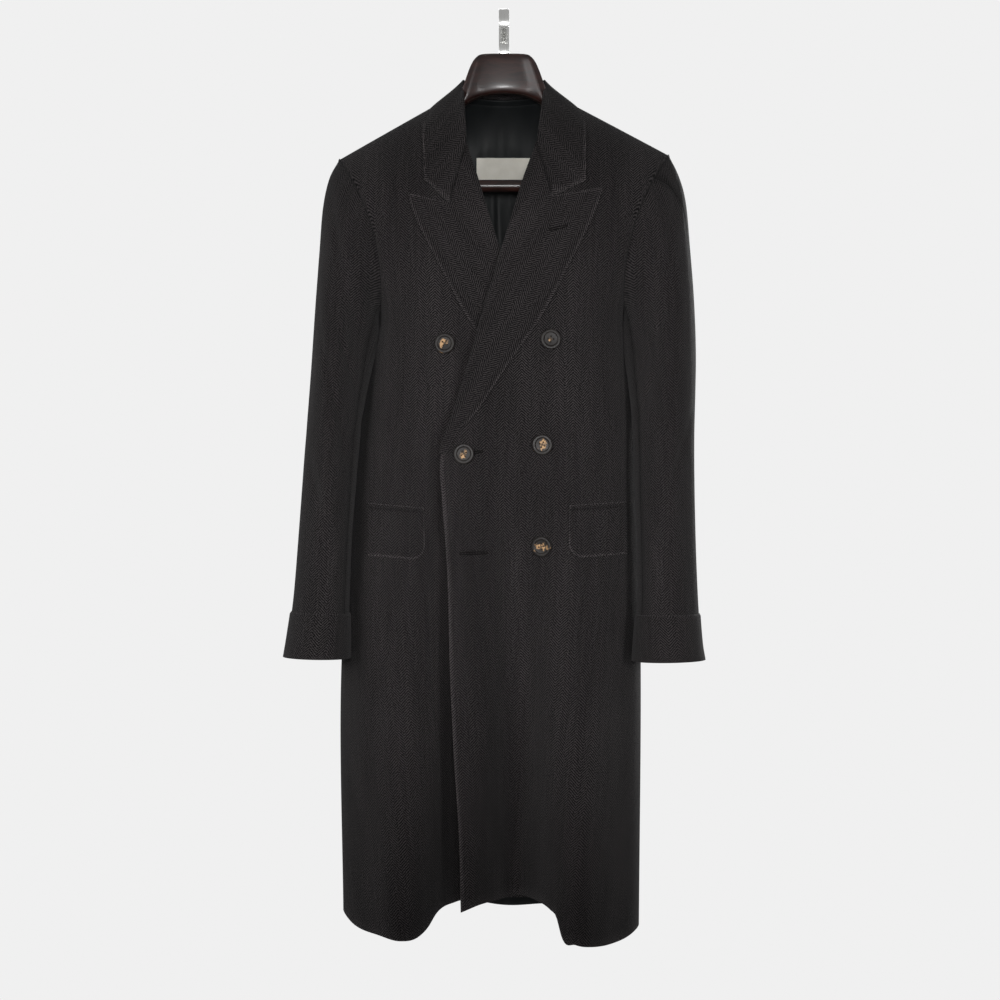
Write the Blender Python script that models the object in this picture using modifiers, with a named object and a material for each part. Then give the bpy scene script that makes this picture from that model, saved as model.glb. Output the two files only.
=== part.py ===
"""Double-breasted overcoat hanging on a wooden hanger.

The origin is the inside of the hook's top. X runs to the wearer's left, Y to the back, Z up.
Sizes are in millimetres and become metres when a mesh is made. A cloth piece is an open surface,
worked out from the sizes below and thickened inwards into a wall.
"""

import math
from collections import namedtuple

import bmesh
import bpy
import numpy as np
from mathutils import Matrix, Vector

MM = 0.001

# Walls and gaps
WALL = 1.6
LINING_WALL = 1.2
LABEL_WALL = 0.8
SEAM_GAP = 0.3
SIDE_GAP = 0.8
SHOULDER_GAP = 1.0
ARMHOLE_START = 0.12

# Shoulders: the neck point, the sleeve head and how far the cloth rounds over
NECK_X = 64.0
NECK_Z = -112.0
TIP_X = 224.0
TIP_Z_RIGHT = -203.0
TIP_Z_LEFT = -197.0
SHOULDER_ROUND = 90.0
SECTION_POWER = 2.8
FOLD_GROWTH = 1.2

# The overlap of the two fronts: where it starts and how far each front moves for it
LAP_TOP = -220.0
LAP_FULL = -320.0

BodyRow = namedtuple("BodyRow", "z right left front back side")
BODY = (
    BodyRow(-1240, -219, 184, 95, 100, 14),
    BodyRow(-880, -222, 187, 97, 96, 24),
    BodyRow(-760, -216, 186, 99, 96, 28),
    BodyRow(-650, -208, 184, 100, 98, 28),
    BodyRow(-520, -193, 180, 99, 100, 34),
    BodyRow(-465, -182, 171, 98, 100, 30),
    BodyRow(-415, -168, 163, 95, 99, 0),
    BodyRow(-300, -218, 216, 81, 93, 0),
    BodyRow(-200, -242, 242, 59, 84, 0),
    BodyRow(-110, -242, 242, 44, 78, 0),
)

Fold = namedtuple("Fold", "x spread start depth level_from")
RIGHT_FOLDS = (
    Fold(x=-55, spread=30, start=-520, depth=84, level_from=-55),
    Fold(x=-140, spread=34, start=-640, depth=-34, level_from=None),
)
LEFT_FOLDS = (
    Fold(x=17, spread=27, start=-540, depth=78, level_from=None),
    Fold(x=106, spread=33, start=-600, depth=-48, level_from=None),
)
BACK_FOLDS = (
    Fold(x=-128, spread=36, start=-520, depth=26, level_from=None),
    Fold(x=-62, spread=28, start=-620, depth=-20, level_from=None),
    Fold(x=4, spread=30, start=-480, depth=22, level_from=None),
    Fold(x=72, spread=30, start=-600, depth=-18, level_from=None),
    Fold(x=118, spread=26, start=-560, depth=24, level_from=None),
)

HemRow = namedtuple("HemRow", "x z")
RIGHT_HEM = (
    HemRow(-219, -1220),
    HemRow(-198, -1229),
    HemRow(-139, -1240),
    HemRow(-92, -1227),
    HemRow(-65, -1208),
    HemRow(-30, -1204),
    HemRow(75, -1204),
)
LEFT_HEM = (
    HemRow(-57, -1209),
    HemRow(18, -1202),
    HemRow(62, -1222),
    HemRow(109, -1247),
    HemRow(150, -1247),
    HemRow(184, -1236),
)

# Front edge and roll line of each front, measured towards its own side
EdgeRow = namedtuple("EdgeRow", "z x")
ROLL_END_Z = -605.0
ROLL_LINE = (
    EdgeRow(ROLL_END_Z, -83),
    EdgeRow(-577, -76),
    EdgeRow(-534, -62),
    EdgeRow(-455, -38),
    EdgeRow(-339, -3.5),
    EdgeRow(-285, 13),
    EdgeRow(-238, 27),
    EdgeRow(-190, 43),
    EdgeRow(-151, 53),
    EdgeRow(NECK_Z, NECK_X),
)
LAPPING_EDGE = (
    EdgeRow(-1209, -57),
    EdgeRow(-1118, -59),
    EdgeRow(-1006, -66),
    EdgeRow(-901, -71),
    EdgeRow(-738, -76),
    EdgeRow(-671, -81),
)
UNDER_EDGE = (
    EdgeRow(-1204, -75),
    EdgeRow(-740, -81),
)

# Lapel and collar ends, measured towards their own side
LapelTop = namedtuple("LapelTop", "notch_x notch_z tip_x tip_z point_x point_z")
RIGHT_TOP = LapelTop(72, -271, 127, -258, 105, -239)
LEFT_TOP = LapelTop(63, -263, 131, -250, 108, -240)
LAPEL_EDGE = (
    EdgeRow(-603, -76),
    EdgeRow(-573, -60),
    EdgeRow(-551, -38),
    EdgeRow(-484, 6.5),
    EdgeRow(-424, 48),
    EdgeRow(-362, 81),
    EdgeRow(-292, 116),
)
GORGE_Z = -190.0
GORGE_GAP = 1.6
LAPEL_LIFT = 4.0
ROLL_BULGE = 5.0
ROLL_PLACE = 0.14
ROLL_SPREAD = 0.16
NOTCH_SHARE = 0.4
LAPEL_FOOT = 0.3
END_SHARPNESS = 6

# Half of the collar from the middle of the back: its fold and its outer edge
CollarRow = namedtuple("CollarRow", "fold_x fold_y fold_z edge_x edge_y edge_z")
COLLAR = (
    CollarRow(0, 73, -80, 0, 100, -160),
    CollarRow(33, 64, -82, 62, 92, -158),
    CollarRow(53, 36, -88, 97, 54, -148),
    CollarRow(57, 6, -92, 109, -4, -133),
    CollarRow(57, -20, -112, 109, -42, -176),
    CollarRow(53, -46, -151, 108, -62, -212),
)
COLLAR_LIFT = 6.0
COLLAR_SWELL = 4.0
SWELL_PLACE = 0.25

# Half of the stand from the middle of the back: its seam and its top under the fold
StandRow = namedtuple("StandRow", "seam_x seam_y seam_z top_x top_y top_z")
STAND = (
    StandRow(0, 60, -110, 0, 69.5, -82),
    StandRow(33, 46, -110, 31.5, 60.5, -84),
    StandRow(53, 25, -110, 50.5, 34.5, -90),
    StandRow(60.5, 3, -110, 54.5, 6, -94.5),
)

# Sleeves: one row for each ring, from the armhole down
SleeveRow = namedtuple("SleeveRow", "out_x out_z in_x in_z half_depth middle_y bow")
RIGHT_SLEEVE = (
    SleeveRow(-224, -203, -168, -415, 62, 0, 22),
    SleeveRow(-237, -229, -175, -425, 69, -5, 14),
    SleeveRow(-245, -270, -177, -440, 71, -12, 6),
    SleeveRow(-249, -330, -180, -462, 69, -20, 0),
    SleeveRow(-253, -405, -184, -500, 64, -38, 0),
    SleeveRow(-258, -500, -190, -556, 60, -54, 0),
    SleeveRow(-265, -600, -196, -632, 56, -64, 0),
    SleeveRow(-272, -700, -202, -714, 54, -69, 0),
    SleeveRow(-279, -790, -205, -794, 52, -72, 0),
    SleeveRow(-286, -842, -205, -844, 51, -74, 0),
    SleeveRow(-291, -872, -205, -874, 52, -74, 0),
)
LEFT_SLEEVE = (
    SleeveRow(224, -197, 163, -415, 62, 0, 22),
    SleeveRow(237, -225, 166, -424, 69, -5, 14),
    SleeveRow(246, -262, 168, -438, 71, -12, 6),
    SleeveRow(251, -325, 168, -460, 69, -20, 0),
    SleeveRow(255, -400, 169, -498, 64, -38, 0),
    SleeveRow(256, -480, 171, -552, 60, -54, 0),
    SleeveRow(253, -590, 173, -630, 56, -64, 0),
    SleeveRow(254, -700, 176, -712, 54, -69, 0),
    SleeveRow(257, -790, 177, -794, 52, -72, 0),
    SleeveRow(261, -850, 173, -848, 51, -74, 0),
    SleeveRow(265, -876, 171, -878, 52, -74, 0),
)
ARMHOLE_BLEND = 1.6
FORE_SEAM = 150.0
SLEEVE_SEAM_TURN = 0.9
CUFF_START = 8.35
CUFF_LIFT = 3.2

SleeveFold = namedtuple("SleeveFold", "turn spread row reach depth")
SLEEVE_FOLDS = (
    SleeveFold(turn=120, spread=26, row=3.2, reach=1.0, depth=-5),
    SleeveFold(turn=70, spread=30, row=4.6, reach=0.8, depth=4),
    SleeveFold(turn=125, spread=28, row=5.6, reach=0.7, depth=-5),
    SleeveFold(turn=60, spread=24, row=6.6, reach=0.7, depth=-4),
    SleeveFold(turn=250, spread=40, row=5.0, reach=1.2, depth=-5),
)

# Pockets on each front
Pocket = namedtuple("Pocket", "front_x rear_x front_z rear_z")
RIGHT_POCKET = Pocket(-106, -181, -680, -674)
LEFT_POCKET = Pocket(86, 161, -677, -672)
FLAP_DROP = 64.0
FLAP_CORNER = 18.0
FLAP_LIFT = 2.3
FLAP_SWING = 2.0
WELT_HEIGHT = 5.5
WELT_WALL = 1.3

# Buttons
BUTTON_RADIUS = 13.6
BUTTON_LIFT = 1.2
BUTTON_STEPS = 18
ButtonPlace = namedtuple("ButtonPlace", "name side x z")
BUTTONS = (
    ButtonPlace("button_upper_right", "right", -78, -458),
    ButtonPlace("button_upper_left", "left", 61, -453),
    ButtonPlace("button_middle_right", "left", -53, -604),
    ButtonPlace("button_middle_left", "left", 50, -592),
    ButtonPlace("button_lower_left", "left", 50, -726),
)
ProfileRow = namedtuple("ProfileRow", "radius height")
BUTTON_PROFILE = (
    ProfileRow(0.0, 2.2),
    ProfileRow(8.0, 2.4),
    ProfileRow(9.6, 3.7),
    ProfileRow(12.4, 3.8),
    ProfileRow(BUTTON_RADIUS, 2.4),
    ProfileRow(11.6, 0.3),
    ProfileRow(8.0, 0.0),
    ProfileRow(0.0, 0.0),
)

# Lining and label inside the back neck
LINING_TOP = -119.0
LINING_BOTTOM = -350.0
LINING_HALF_TOP = 58.0
LINING_HALF_BOTTOM = 92.0
LINING_INSET = 4.6
LINING_NECK_INSET = 2.0
LINING_ROWS = 7
LINING_COLUMNS = 12
LABEL_HALF = 38.0
LABEL_TOP = -188.0
LABEL_BOTTOM = -218.0
LABEL_INSET = 7.4

# Hanger: half of its sections from the middle outwards
HangerRow = namedtuple("HangerRow", "x top bottom half_depth")
HANGER = (
    HangerRow(0, -58, -110, 15),
    HangerRow(22, -58.5, -113, 15),
    HangerRow(36, -61, -118, 15),
    HangerRow(43, -67, -122, 14.5),
    HangerRow(48.5, -86, -126, 14),
    HangerRow(53, -107, -131, 14),
    HangerRow(62, -122, -138, 15),
    HangerRow(90, -138, -158, 16),
    HangerRow(130, -161, -186, 18),
    HangerRow(165, -181, -216, 20),
    HangerRow(188, -195, -254, 19),
    HangerRow(202, -206, -256, 15),
    HangerRow(207, -216, -248, 9),
)
HANGER_SIDES = 14
HANGER_POWER = 3.2
BAR_Z = -237.5
BAR_RADIUS = 8.2
BAR_HALF = 192.0

# Hook: a bent strap whose curve takes a rail
HOOK_INNER_RADIUS = 17.0
HOOK_STRAP = 3.0
HOOK_WIDTH = 14.0
HOOK_FOOT_Z = -57.6
HOOK_FIRST_TURN = -50.0
HOOK_LAST_TURN = 205.0
HOOK_STEPS = 14
HOOK_STEM = 10.0
SwerveRow = namedtuple("SwerveRow", "share below")
HOOK_SWERVE = (SwerveRow(0.25, 9.5), SwerveRow(0.62, 4.6))

# Mesh divisions
FRONT_COLUMNS = 20
SIDE_CROWDING = 0.45
LOWER_ROWS = 13
UPPER_ROWS = 8
BACK_THIRD_COLUMNS = 6
BACK_CROWDING = 1.6
SLEEVE_ROWS = 13
TOP_SLEEVE_COLUMNS = 8
UNDER_SLEEVE_COLUMNS = 8
CUFF_COLUMNS = 22
LAPEL_ROWS = 13
FLAP_STEPS = (0.0, 0.05, 0.13, 0.25, 0.45, 0.65, 0.85, 1.0)
LAPEL_STEPS = (0.0, 0.08, 0.2, NOTCH_SHARE, 0.7, 1.0)
COLLAR_HALF_COLUMNS = 13
COLLAR_STEPS = (0.0, 0.12, NOTCH_SHARE, 0.72, 1.0)
STAND_HALF_COLUMNS = 7

Side = namedtuple("Side", "name sign lap folds hem edge top sleeve hind_start hind_end pocket")
RIGHT = Side(
    "right", -1, 5.0, RIGHT_FOLDS, RIGHT_HEM, UNDER_EDGE + ROLL_LINE, RIGHT_TOP, RIGHT_SLEEVE,
    -15.0, -40.0, RIGHT_POCKET,
)
LEFT = Side(
    "left", 1, -3.0, LEFT_FOLDS, LEFT_HEM, LAPPING_EDGE + ROLL_LINE, LEFT_TOP, LEFT_SLEEVE,
    48.0, -40.0, LEFT_POCKET,
)

Finish = namedtuple("Finish", "name color roughness metallic")
WOOL = Finish("charcoal_wool", (0.028, 0.026, 0.026), 0.9, 0.0)
SATIN = Finish("lining_satin", (0.014, 0.018, 0.02), 0.4, 0.0)
LABEL = Finish("label_cream", (0.65, 0.62, 0.53), 0.8, 0.0)
HORN = Finish("button_horn", (0.03, 0.022, 0.018), 0.25, 0.0)
WOOD = Finish("hanger_wood", (0.035, 0.012, 0.009), 0.2, 0.0)
CHROME = Finish("hook_chrome", (0.75, 0.75, 0.74), 0.12, 1.0)


def hermite(knots, values, at):
    """Smooth curve through the values, with each knot's slope taken from its neighbours."""
    knots = np.asarray(knots, float)
    values = np.asarray(values, float)
    at = np.clip(np.asarray(at, float), knots[0], knots[-1])
    slopes = np.gradient(values, knots)
    first = np.clip(np.searchsorted(knots, at, side="right") - 1, 0, len(knots) - 2)
    span = knots[first + 1] - knots[first]
    t = (at - knots[first]) / span
    start = (2 * t**3 - 3 * t**2 + 1) * values[first] + (t**3 - 2 * t**2 + t) * span * slopes[first]
    end = (3 * t**2 - 2 * t**3) * values[first + 1] + (t**3 - t**2) * span * slopes[first + 1]
    return start + end


def table_curve(rows, key, column, at):
    """Read a column of a table as a smooth curve over another column."""
    return hermite([getattr(row, key) for row in rows], [getattr(row, column) for row in rows], at)


def row_curve(rows, column, at):
    """Read a column of a table as a smooth curve over the row number."""
    return hermite(range(len(rows)), [getattr(row, column) for row in rows], at)


def ease(value):
    """Go from 0 to 1 with a soft start and a soft end."""
    value = np.clip(value, 0.0, 1.0)
    return value * value * (3.0 - 2.0 * value)


def ridge(x):
    """Height of the shoulder line, carried on over the neck."""
    tip_z = np.where(x < 0, TIP_Z_RIGHT, TIP_Z_LEFT)
    slope = (NECK_Z - tip_z) / (TIP_X - NECK_X)
    return NECK_Z - slope * (np.abs(x) - NECK_X)


def rounding(x, z):
    """Share of the full depth that the cloth has reached below the shoulder line."""
    drop = np.clip((ridge(x) - z) / SHOULDER_ROUND, 0.0, 1.0)
    return np.sqrt(1.0 - (1.0 - drop) ** 2)


def section(x, z):
    """Share of the full depth across a level section of the body."""
    right = table_curve(BODY, "z", "right", z)
    left = table_curve(BODY, "z", "left", z)
    across = np.abs(x - (left + right) / 2) / ((left - right) / 2)
    return np.clip(1.0 - across**SECTION_POWER, 0.0, 1.0) ** (1.0 / SECTION_POWER)


def fold_depth(folds, x, z):
    """Sum of the hanging folds, each growing from its start to the hem."""
    total = np.zeros(np.broadcast(x, z).shape)
    for fold in folds:
        away = (x - fold.x) / fold.spread
        if fold.level_from is not None:
            away = np.where(x > fold.level_from, 0.0, away)
        growth = np.clip((fold.start - z) / (fold.start - BODY[0].z), 0.0, 1.0) ** FOLD_GROWTH
        total = total + fold.depth * growth * np.exp(-(away**2) / 2)
    return total


def lap_share(z):
    """How much of the overlap's offset applies at a height."""
    return ease((LAP_TOP - z) / (LAP_TOP - LAP_FULL))


def front_y(x, z, side):
    """Outer surface of a front."""
    depth = table_curve(BODY, "z", "front", z) * rounding(x, z)
    seam = table_curve(BODY, "z", "side", z)
    surface = side.lap * lap_share(z) + fold_depth(side.folds, x, z) - depth
    return seam + section(x, z) * (surface - seam)


def back_y(x, z):
    """Outer surface of the back."""
    depth = table_curve(BODY, "z", "back", z) * rounding(x, z)
    seam = table_curve(BODY, "z", "side", z)
    return seam + section(x, z) * (depth - fold_depth(BACK_FOLDS, x, z) - seam)


def stack(x, y, z):
    """Join coordinate arrays into points."""
    return np.stack(np.broadcast_arrays(x, y, z), axis=-1)


def on_front(x, z, side, lift):
    """Points lifted off a front along its surface normal."""
    step = 1.0
    y = front_y(x, z, side)
    slope_x = (front_y(x + step, z, side) - front_y(x - step, z, side)) / (2 * step)
    slope_z = (front_y(x, z + step, side) - front_y(x, z - step, side)) / (2 * step)
    length = np.sqrt(slope_x**2 + slope_z**2 + 1.0)
    return stack(x + slope_x / length * lift, y - lift / length, z + slope_z / length * lift)


def armhole_ring(side, turn):
    """Armhole seam of one side, at turns from the shoulder tip over the front to the armpit."""
    first = side.sleeve[0]
    middle_x = (first.out_x + first.in_x) / 2
    middle_z = (first.out_z + first.in_z) / 2
    x = middle_x + (first.out_x - middle_x) * np.cos(turn)
    x = x - side.sign * first.bow * np.sin(turn) ** 2
    z = middle_z + (first.out_z - middle_z) * np.cos(turn)
    y = np.where(np.sin(turn) >= 0, front_y(x, z, side), back_y(x, z))
    return stack(x, y, z)


def upper_steps():
    """Row places from armpit to shoulder, closer where the cloth rounds over."""
    return 1.0 - (1.0 - np.arange(1, UPPER_ROWS + 1) / UPPER_ROWS) ** 2


def front_grid(side):
    """Points of a front, from its edge to the side seam and from hem to shoulder."""
    armpit = side.sleeve[0]
    side_column = side.name
    hem_edge_z = side.edge[0].z
    hem_side_z = table_curve(side.hem, "x", "z", table_curve(BODY, "z", side_column, hem_edge_z))
    lower = np.linspace(0.0, 1.0, LOWER_ROWS + 1)
    upper = upper_steps()
    edge_z = np.concatenate([
        hem_edge_z + (armpit.in_z - hem_edge_z) * lower,
        armpit.in_z + (NECK_Z - armpit.in_z) * upper,
    ])
    edge_x = side.sign * table_curve(side.edge, "z", "x", edge_z)
    seam_z = hem_side_z + (armpit.in_z - hem_side_z) * lower
    ring = armhole_ring(side, math.pi * (1.0 - upper))
    outer_z = np.concatenate([seam_z, ring[:, 2]])
    outer_x = np.concatenate([table_curve(BODY, "z", side_column, seam_z), ring[:, 0]])
    even = np.linspace(0.0, 1.0, FRONT_COLUMNS + 1)
    across = (1 - SIDE_CROWDING) * even + SIDE_CROWDING * np.sin(even * math.pi / 2)
    x = edge_x[:, None] + (outer_x - edge_x)[:, None] * across
    z = edge_z[:, None] + (outer_z - edge_z)[:, None] * across
    hem_shift = table_curve(side.hem, "x", "z", x[0]) - z[0]
    share = np.concatenate([(1.0 - lower) ** 2, np.zeros(UPPER_ROWS)])
    z = z + share[:, None] * hem_shift
    y = front_y(x, z, side)
    y[-1] -= SHOULDER_GAP
    y[: LOWER_ROWS + 1, -1] -= SIDE_GAP
    return stack(x, y, z)


def back_grid():
    """Points of the back, from the right side seam to the left and from hem to neck."""
    neck = NECK_X / TIP_X
    third = BACK_THIRD_COLUMNS
    wing = 1.0 - (1.0 - neck) * (1.0 - np.linspace(0.0, 1.0, third + 1)) ** BACK_CROWDING
    across = np.concatenate([-wing[:0:-1], np.linspace(-neck, neck, third, endpoint=False), wing])
    share = (across + 1.0) / 2
    lower = np.linspace(0.0, 1.0, LOWER_ROWS + 1)
    upper = upper_steps()
    sides_x = []
    sides_z = []
    for side in (RIGHT, LEFT):
        end = side.hem[0] if side is RIGHT else side.hem[-1]
        seam_z = end.z + (side.sleeve[0].in_z - end.z) * lower
        ring = armhole_ring(side, math.pi * (1.0 + upper))
        sides_x.append(np.concatenate([table_curve(BODY, "z", side.name, seam_z), ring[:, 0]]))
        sides_z.append(np.concatenate([seam_z, ring[:, 2]]))
    x = sides_x[0][:, None] * (1.0 - share) + sides_x[1][:, None] * share
    z = sides_z[0][:, None] * (1.0 - share) + sides_z[1][:, None] * share
    top = np.minimum(ridge(x[-1]), NECK_Z)
    rise = np.concatenate([np.zeros(LOWER_ROWS + 1), upper])
    z = z + rise[:, None] * (top - z[-1])
    y = back_y(x, z)
    y[-1] += SHOULDER_GAP
    y[: LOWER_ROWS + 1, 0] += SIDE_GAP
    y[: LOWER_ROWS + 1, -1] += SIDE_GAP
    return stack(x, y, z)


def bent_end(first, corner, last, share):
    """A line from first to last that turns at a corner."""
    before = np.clip(share / NOTCH_SHARE, 0.0, 1.0)
    after = np.clip((share - NOTCH_SHARE) / (1.0 - NOTCH_SHARE), 0.0, 1.0)
    return [
        a + (b - a) * before + (c - b) * after
        for a, b, c in zip(first, corner, last)
    ]


def lapel_grid(side):
    """Points of a lapel, from the roll line outwards and from its foot to the notch."""
    up = np.linspace(0.0, 1.0, LAPEL_ROWS + 1)
    out = np.array(LAPEL_STEPS)
    roll_z = ROLL_END_Z + 2.0 + (GORGE_Z - ROLL_END_Z - 2.0) * up
    roll_x = table_curve(side.edge, "z", "x", roll_z)
    edge = LAPEL_EDGE + (EdgeRow(side.top.tip_z, side.top.tip_x),)
    edge_x = row_curve(edge, "x", up * (len(edge) - 1))
    edge_z = row_curve(edge, "z", up * (len(edge) - 1))
    own_x = roll_x[:, None] * (1.0 - out) + edge_x[:, None] * out
    z = roll_z[:, None] * (1.0 - out) + edge_z[:, None] * out
    notch = (side.top.notch_x, side.top.notch_z)
    tip = (side.top.tip_x, side.top.tip_z)
    end_x, end_z = bent_end((roll_x[-1], GORGE_Z), notch, tip, out)
    late = up[:, None] ** END_SHARPNESS
    own_x = own_x + late * (end_x - own_x[-1])
    z = z + late * (end_z - z[-1])
    bulge = ROLL_BULGE * np.exp(-(((out - ROLL_PLACE) / ROLL_SPREAD) ** 2))
    bulge = bulge * ease(up / LAPEL_FOOT)[:, None]
    if side is RIGHT:
        bulge = bulge * (1.0 - lap_share(z))
    return on_front(side.sign * own_x, z, side, LAPEL_LIFT + bulge)


def half_and_half(rows, columns, names):
    """Read table columns all round the neck, mirrored about the middle of the back."""
    place = np.linspace(-1.0, 1.0, 2 * columns + 1)
    row = np.abs(place) * (len(rows) - 1)
    values = {name: row_curve(rows, name, row) for name in names}
    return place, values


def clear_of_body(x, y, z, lift):
    """Move points that cover the shoulders out of the body's surface."""
    front = y < 0
    depth = np.where(front, table_curve(BODY, "z", "front", z), table_curve(BODY, "z", "back", z))
    share = np.clip(np.abs(y) / depth, 0.0, 0.98)
    surface_z = ridge(x) - SHOULDER_ROUND * (1.0 - np.sqrt(1.0 - share**2))
    outside = np.abs(x) > NECK_X - 4.0
    z = np.where(outside & (share < 0.7), np.maximum(z, surface_z + lift), z)
    skin = np.where(x < 0, front_y(x, z, RIGHT), front_y(x, z, LEFT))
    pushed = np.where(front, np.minimum(y, skin - lift), np.maximum(y, back_y(x, z) + lift))
    below = ridge(x) - z > lift
    return stack(x, np.where(below, pushed, y), z)


def collar_grid():
    """Points of the collar's fall, from the fold to its outer edge and round the neck."""
    names = ("fold_x", "fold_y", "fold_z", "edge_x", "edge_y", "edge_z")
    place, row = half_and_half(COLLAR, COLLAR_HALF_COLUMNS, names)
    down = np.array(COLLAR_STEPS)[:, None]
    grids = []
    for side in (RIGHT, LEFT):
        half = place <= 0 if side is RIGHT else place > 0
        near = np.abs(place[half])
        late = near**END_SHARPNESS
        own_x = row["fold_x"][half] * (1 - down) + row["edge_x"][half] * down
        y = row["fold_y"][half] * (1 - down) + row["edge_y"][half] * down
        z = row["fold_z"][half] * (1 - down) + row["edge_z"][half] * down
        roll_x = table_curve(side.edge, "z", "x", GORGE_Z)
        notch = (side.top.notch_x, side.top.notch_z)
        point = (side.top.point_x, side.top.point_z)
        end_x, end_z = bent_end((roll_x, GORGE_Z), notch, point, down)
        last_x = COLLAR[-1].fold_x * (1 - down) + COLLAR[-1].edge_x * down
        last_z = COLLAR[-1].fold_z * (1 - down) + COLLAR[-1].edge_z * down
        own_x = own_x + late * (end_x + GORGE_GAP - last_x)
        z = z + late * (end_z + GORGE_GAP - last_z)
        lift = COLLAR_LIFT + COLLAR_SWELL * np.exp(-(((down / SWELL_PLACE) - 1.0) ** 2))
        grids.append(clear_of_body(side.sign * own_x, y, z, lift))
    return np.concatenate(grids, axis=1)


def stand_grid():
    """Points of the collar's stand, from the neck seam up to the fold."""
    names = ("seam_x", "seam_y", "seam_z", "top_x", "top_y", "top_z")
    place, row = half_and_half(STAND, STAND_HALF_COLUMNS, names)
    up = np.linspace(0.0, 1.0, 3)[:, None]
    own_x = row["seam_x"] * (1 - up) + row["top_x"] * up
    y = row["seam_y"] * (1 - up) + row["top_y"] * up
    z = row["seam_z"] * (1 - up) + row["top_z"] * up
    return stack(np.sign(place) * own_x, y, z)


def sleeve_fold(turn, row):
    """Share by which the sleeve's folds swell or pinch a ring."""
    total = np.zeros(np.broadcast(turn, row).shape)
    for fold in SLEEVE_FOLDS:
        around = (np.degrees(turn) - fold.turn + 180.0) % 360.0 - 180.0
        along = (row - fold.row) / fold.reach
        total = total + fold.depth * np.exp(-((around / fold.spread) ** 2) - along**2)
    return total


def sleeve_points(side, turn, row, lift):
    """Points on a sleeve at turns round it and table rows down it."""
    read = {name: row_curve(side.sleeve, name, row) for name in SleeveRow._fields}
    middle_x = (read["out_x"] + read["in_x"]) / 2
    middle_z = (read["out_z"] + read["in_z"]) / 2
    swell = lift + sleeve_fold(turn, row)
    half_x = (read["out_x"] - read["in_x"]) / 2
    x = middle_x + (half_x + side.sign * swell) * np.cos(turn)
    x = x - side.sign * read["bow"] * np.sin(turn) ** 2
    z = middle_z + (read["out_z"] - read["in_z"]) / 2 * np.cos(turn)
    y = read["middle_y"] - (read["half_depth"] + swell) * np.sin(turn)
    join = armhole_ring(side, turn)[..., 1] + side.sleeve[0].half_depth * np.sin(turn)
    y = y + np.clip(1.0 - row / ARMHOLE_BLEND, 0.0, 1.0) ** 2 * join
    return stack(x, y, z)


def sleeve_grid(side, under):
    """Points of the top or the under sleeve, between its two seams."""
    last = len(side.sleeve) - 1
    row = np.linspace(ARMHOLE_START, last - 0.05, SLEEVE_ROWS + 1)[:, None]
    hind = side.hind_start + (side.hind_end - side.hind_start) * row / last
    if under:
        start = FORE_SEAM + SLEEVE_SEAM_TURN + 0.0 * row
        end = hind + 360.0 - SLEEVE_SEAM_TURN
        columns = UNDER_SLEEVE_COLUMNS
    else:
        start = hind
        end = FORE_SEAM + 0.0 * row
        columns = TOP_SLEEVE_COLUMNS
    turn = np.radians(start + (end - start) * np.linspace(0.0, 1.0, columns + 1))
    return sleeve_points(side, turn, row, 0.0)


def cuff_grid(side):
    """Points of a cuff band round the sleeve's end."""
    last = len(side.sleeve) - 1
    row = np.linspace(CUFF_START, last, 4)[:, None]
    turn = np.arange(CUFF_COLUMNS) * 2 * math.pi / CUFF_COLUMNS
    return sleeve_points(side, turn, row, CUFF_LIFT)


def flap_grid(side):
    """Points of a pocket flap, from its front edge to the back and from the welt down."""
    pocket = side.pocket
    along = np.array(FLAP_STEPS)
    down = np.linspace(0.0, 1.0, 5)[:, None]
    x = pocket.front_x + (pocket.rear_x - pocket.front_x) * along
    top = pocket.front_z + (pocket.rear_z - pocket.front_z) * along
    inset = np.clip(FLAP_CORNER - np.abs(x - pocket.front_x), 0.0, FLAP_CORNER)
    corner = FLAP_CORNER - np.sqrt(FLAP_CORNER**2 - inset**2)
    z = top - (FLAP_DROP - corner) * down
    return on_front(x + 0.0 * z, z, side, FLAP_LIFT + FLAP_SWING * down)


def welt_grid(side):
    """Points of the narrow welt above a flap."""
    pocket = side.pocket
    along = np.linspace(0.0, 1.0, 7)
    x = pocket.front_x + (pocket.rear_x - pocket.front_x) * along
    top = pocket.front_z + (pocket.rear_z - pocket.front_z) * along
    z = top + np.array([[SEAM_GAP * 2], [WELT_HEIGHT]])
    return on_front(x + 0.0 * z, z, side, FLAP_LIFT)


def lining_grid():
    """Points of the lining inside the back neck."""
    across = np.linspace(-1.0, 1.0, LINING_COLUMNS + 1)
    z = np.linspace(LINING_BOTTOM, LINING_TOP, LINING_ROWS + 1)[:, None]
    share = (z - LINING_BOTTOM) / (LINING_TOP - LINING_BOTTOM)
    x = (LINING_HALF_BOTTOM + (LINING_HALF_TOP - LINING_HALF_BOTTOM) * share) * across
    return stack(x, back_y(x, z) - LINING_INSET - LINING_NECK_INSET * share, z + 0.0 * x)


def label_grid():
    """Points of the bare label on the lining."""
    x = np.linspace(-LABEL_HALF, LABEL_HALF, 7)
    z = np.linspace(LABEL_BOTTOM, LABEL_TOP, 3)[:, None]
    return stack(x + 0.0 * z, back_y(x, z) - LABEL_INSET, z + 0.0 * x)


def clear_scene():
    """Take every object out of the scene."""
    for obj in list(bpy.data.objects):
        bpy.data.objects.remove(obj, do_unlink=True)


def collection(name):
    """A new collection in the scene."""
    made = bpy.data.collections.new(name)
    bpy.context.scene.collection.children.link(made)
    return made


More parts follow.
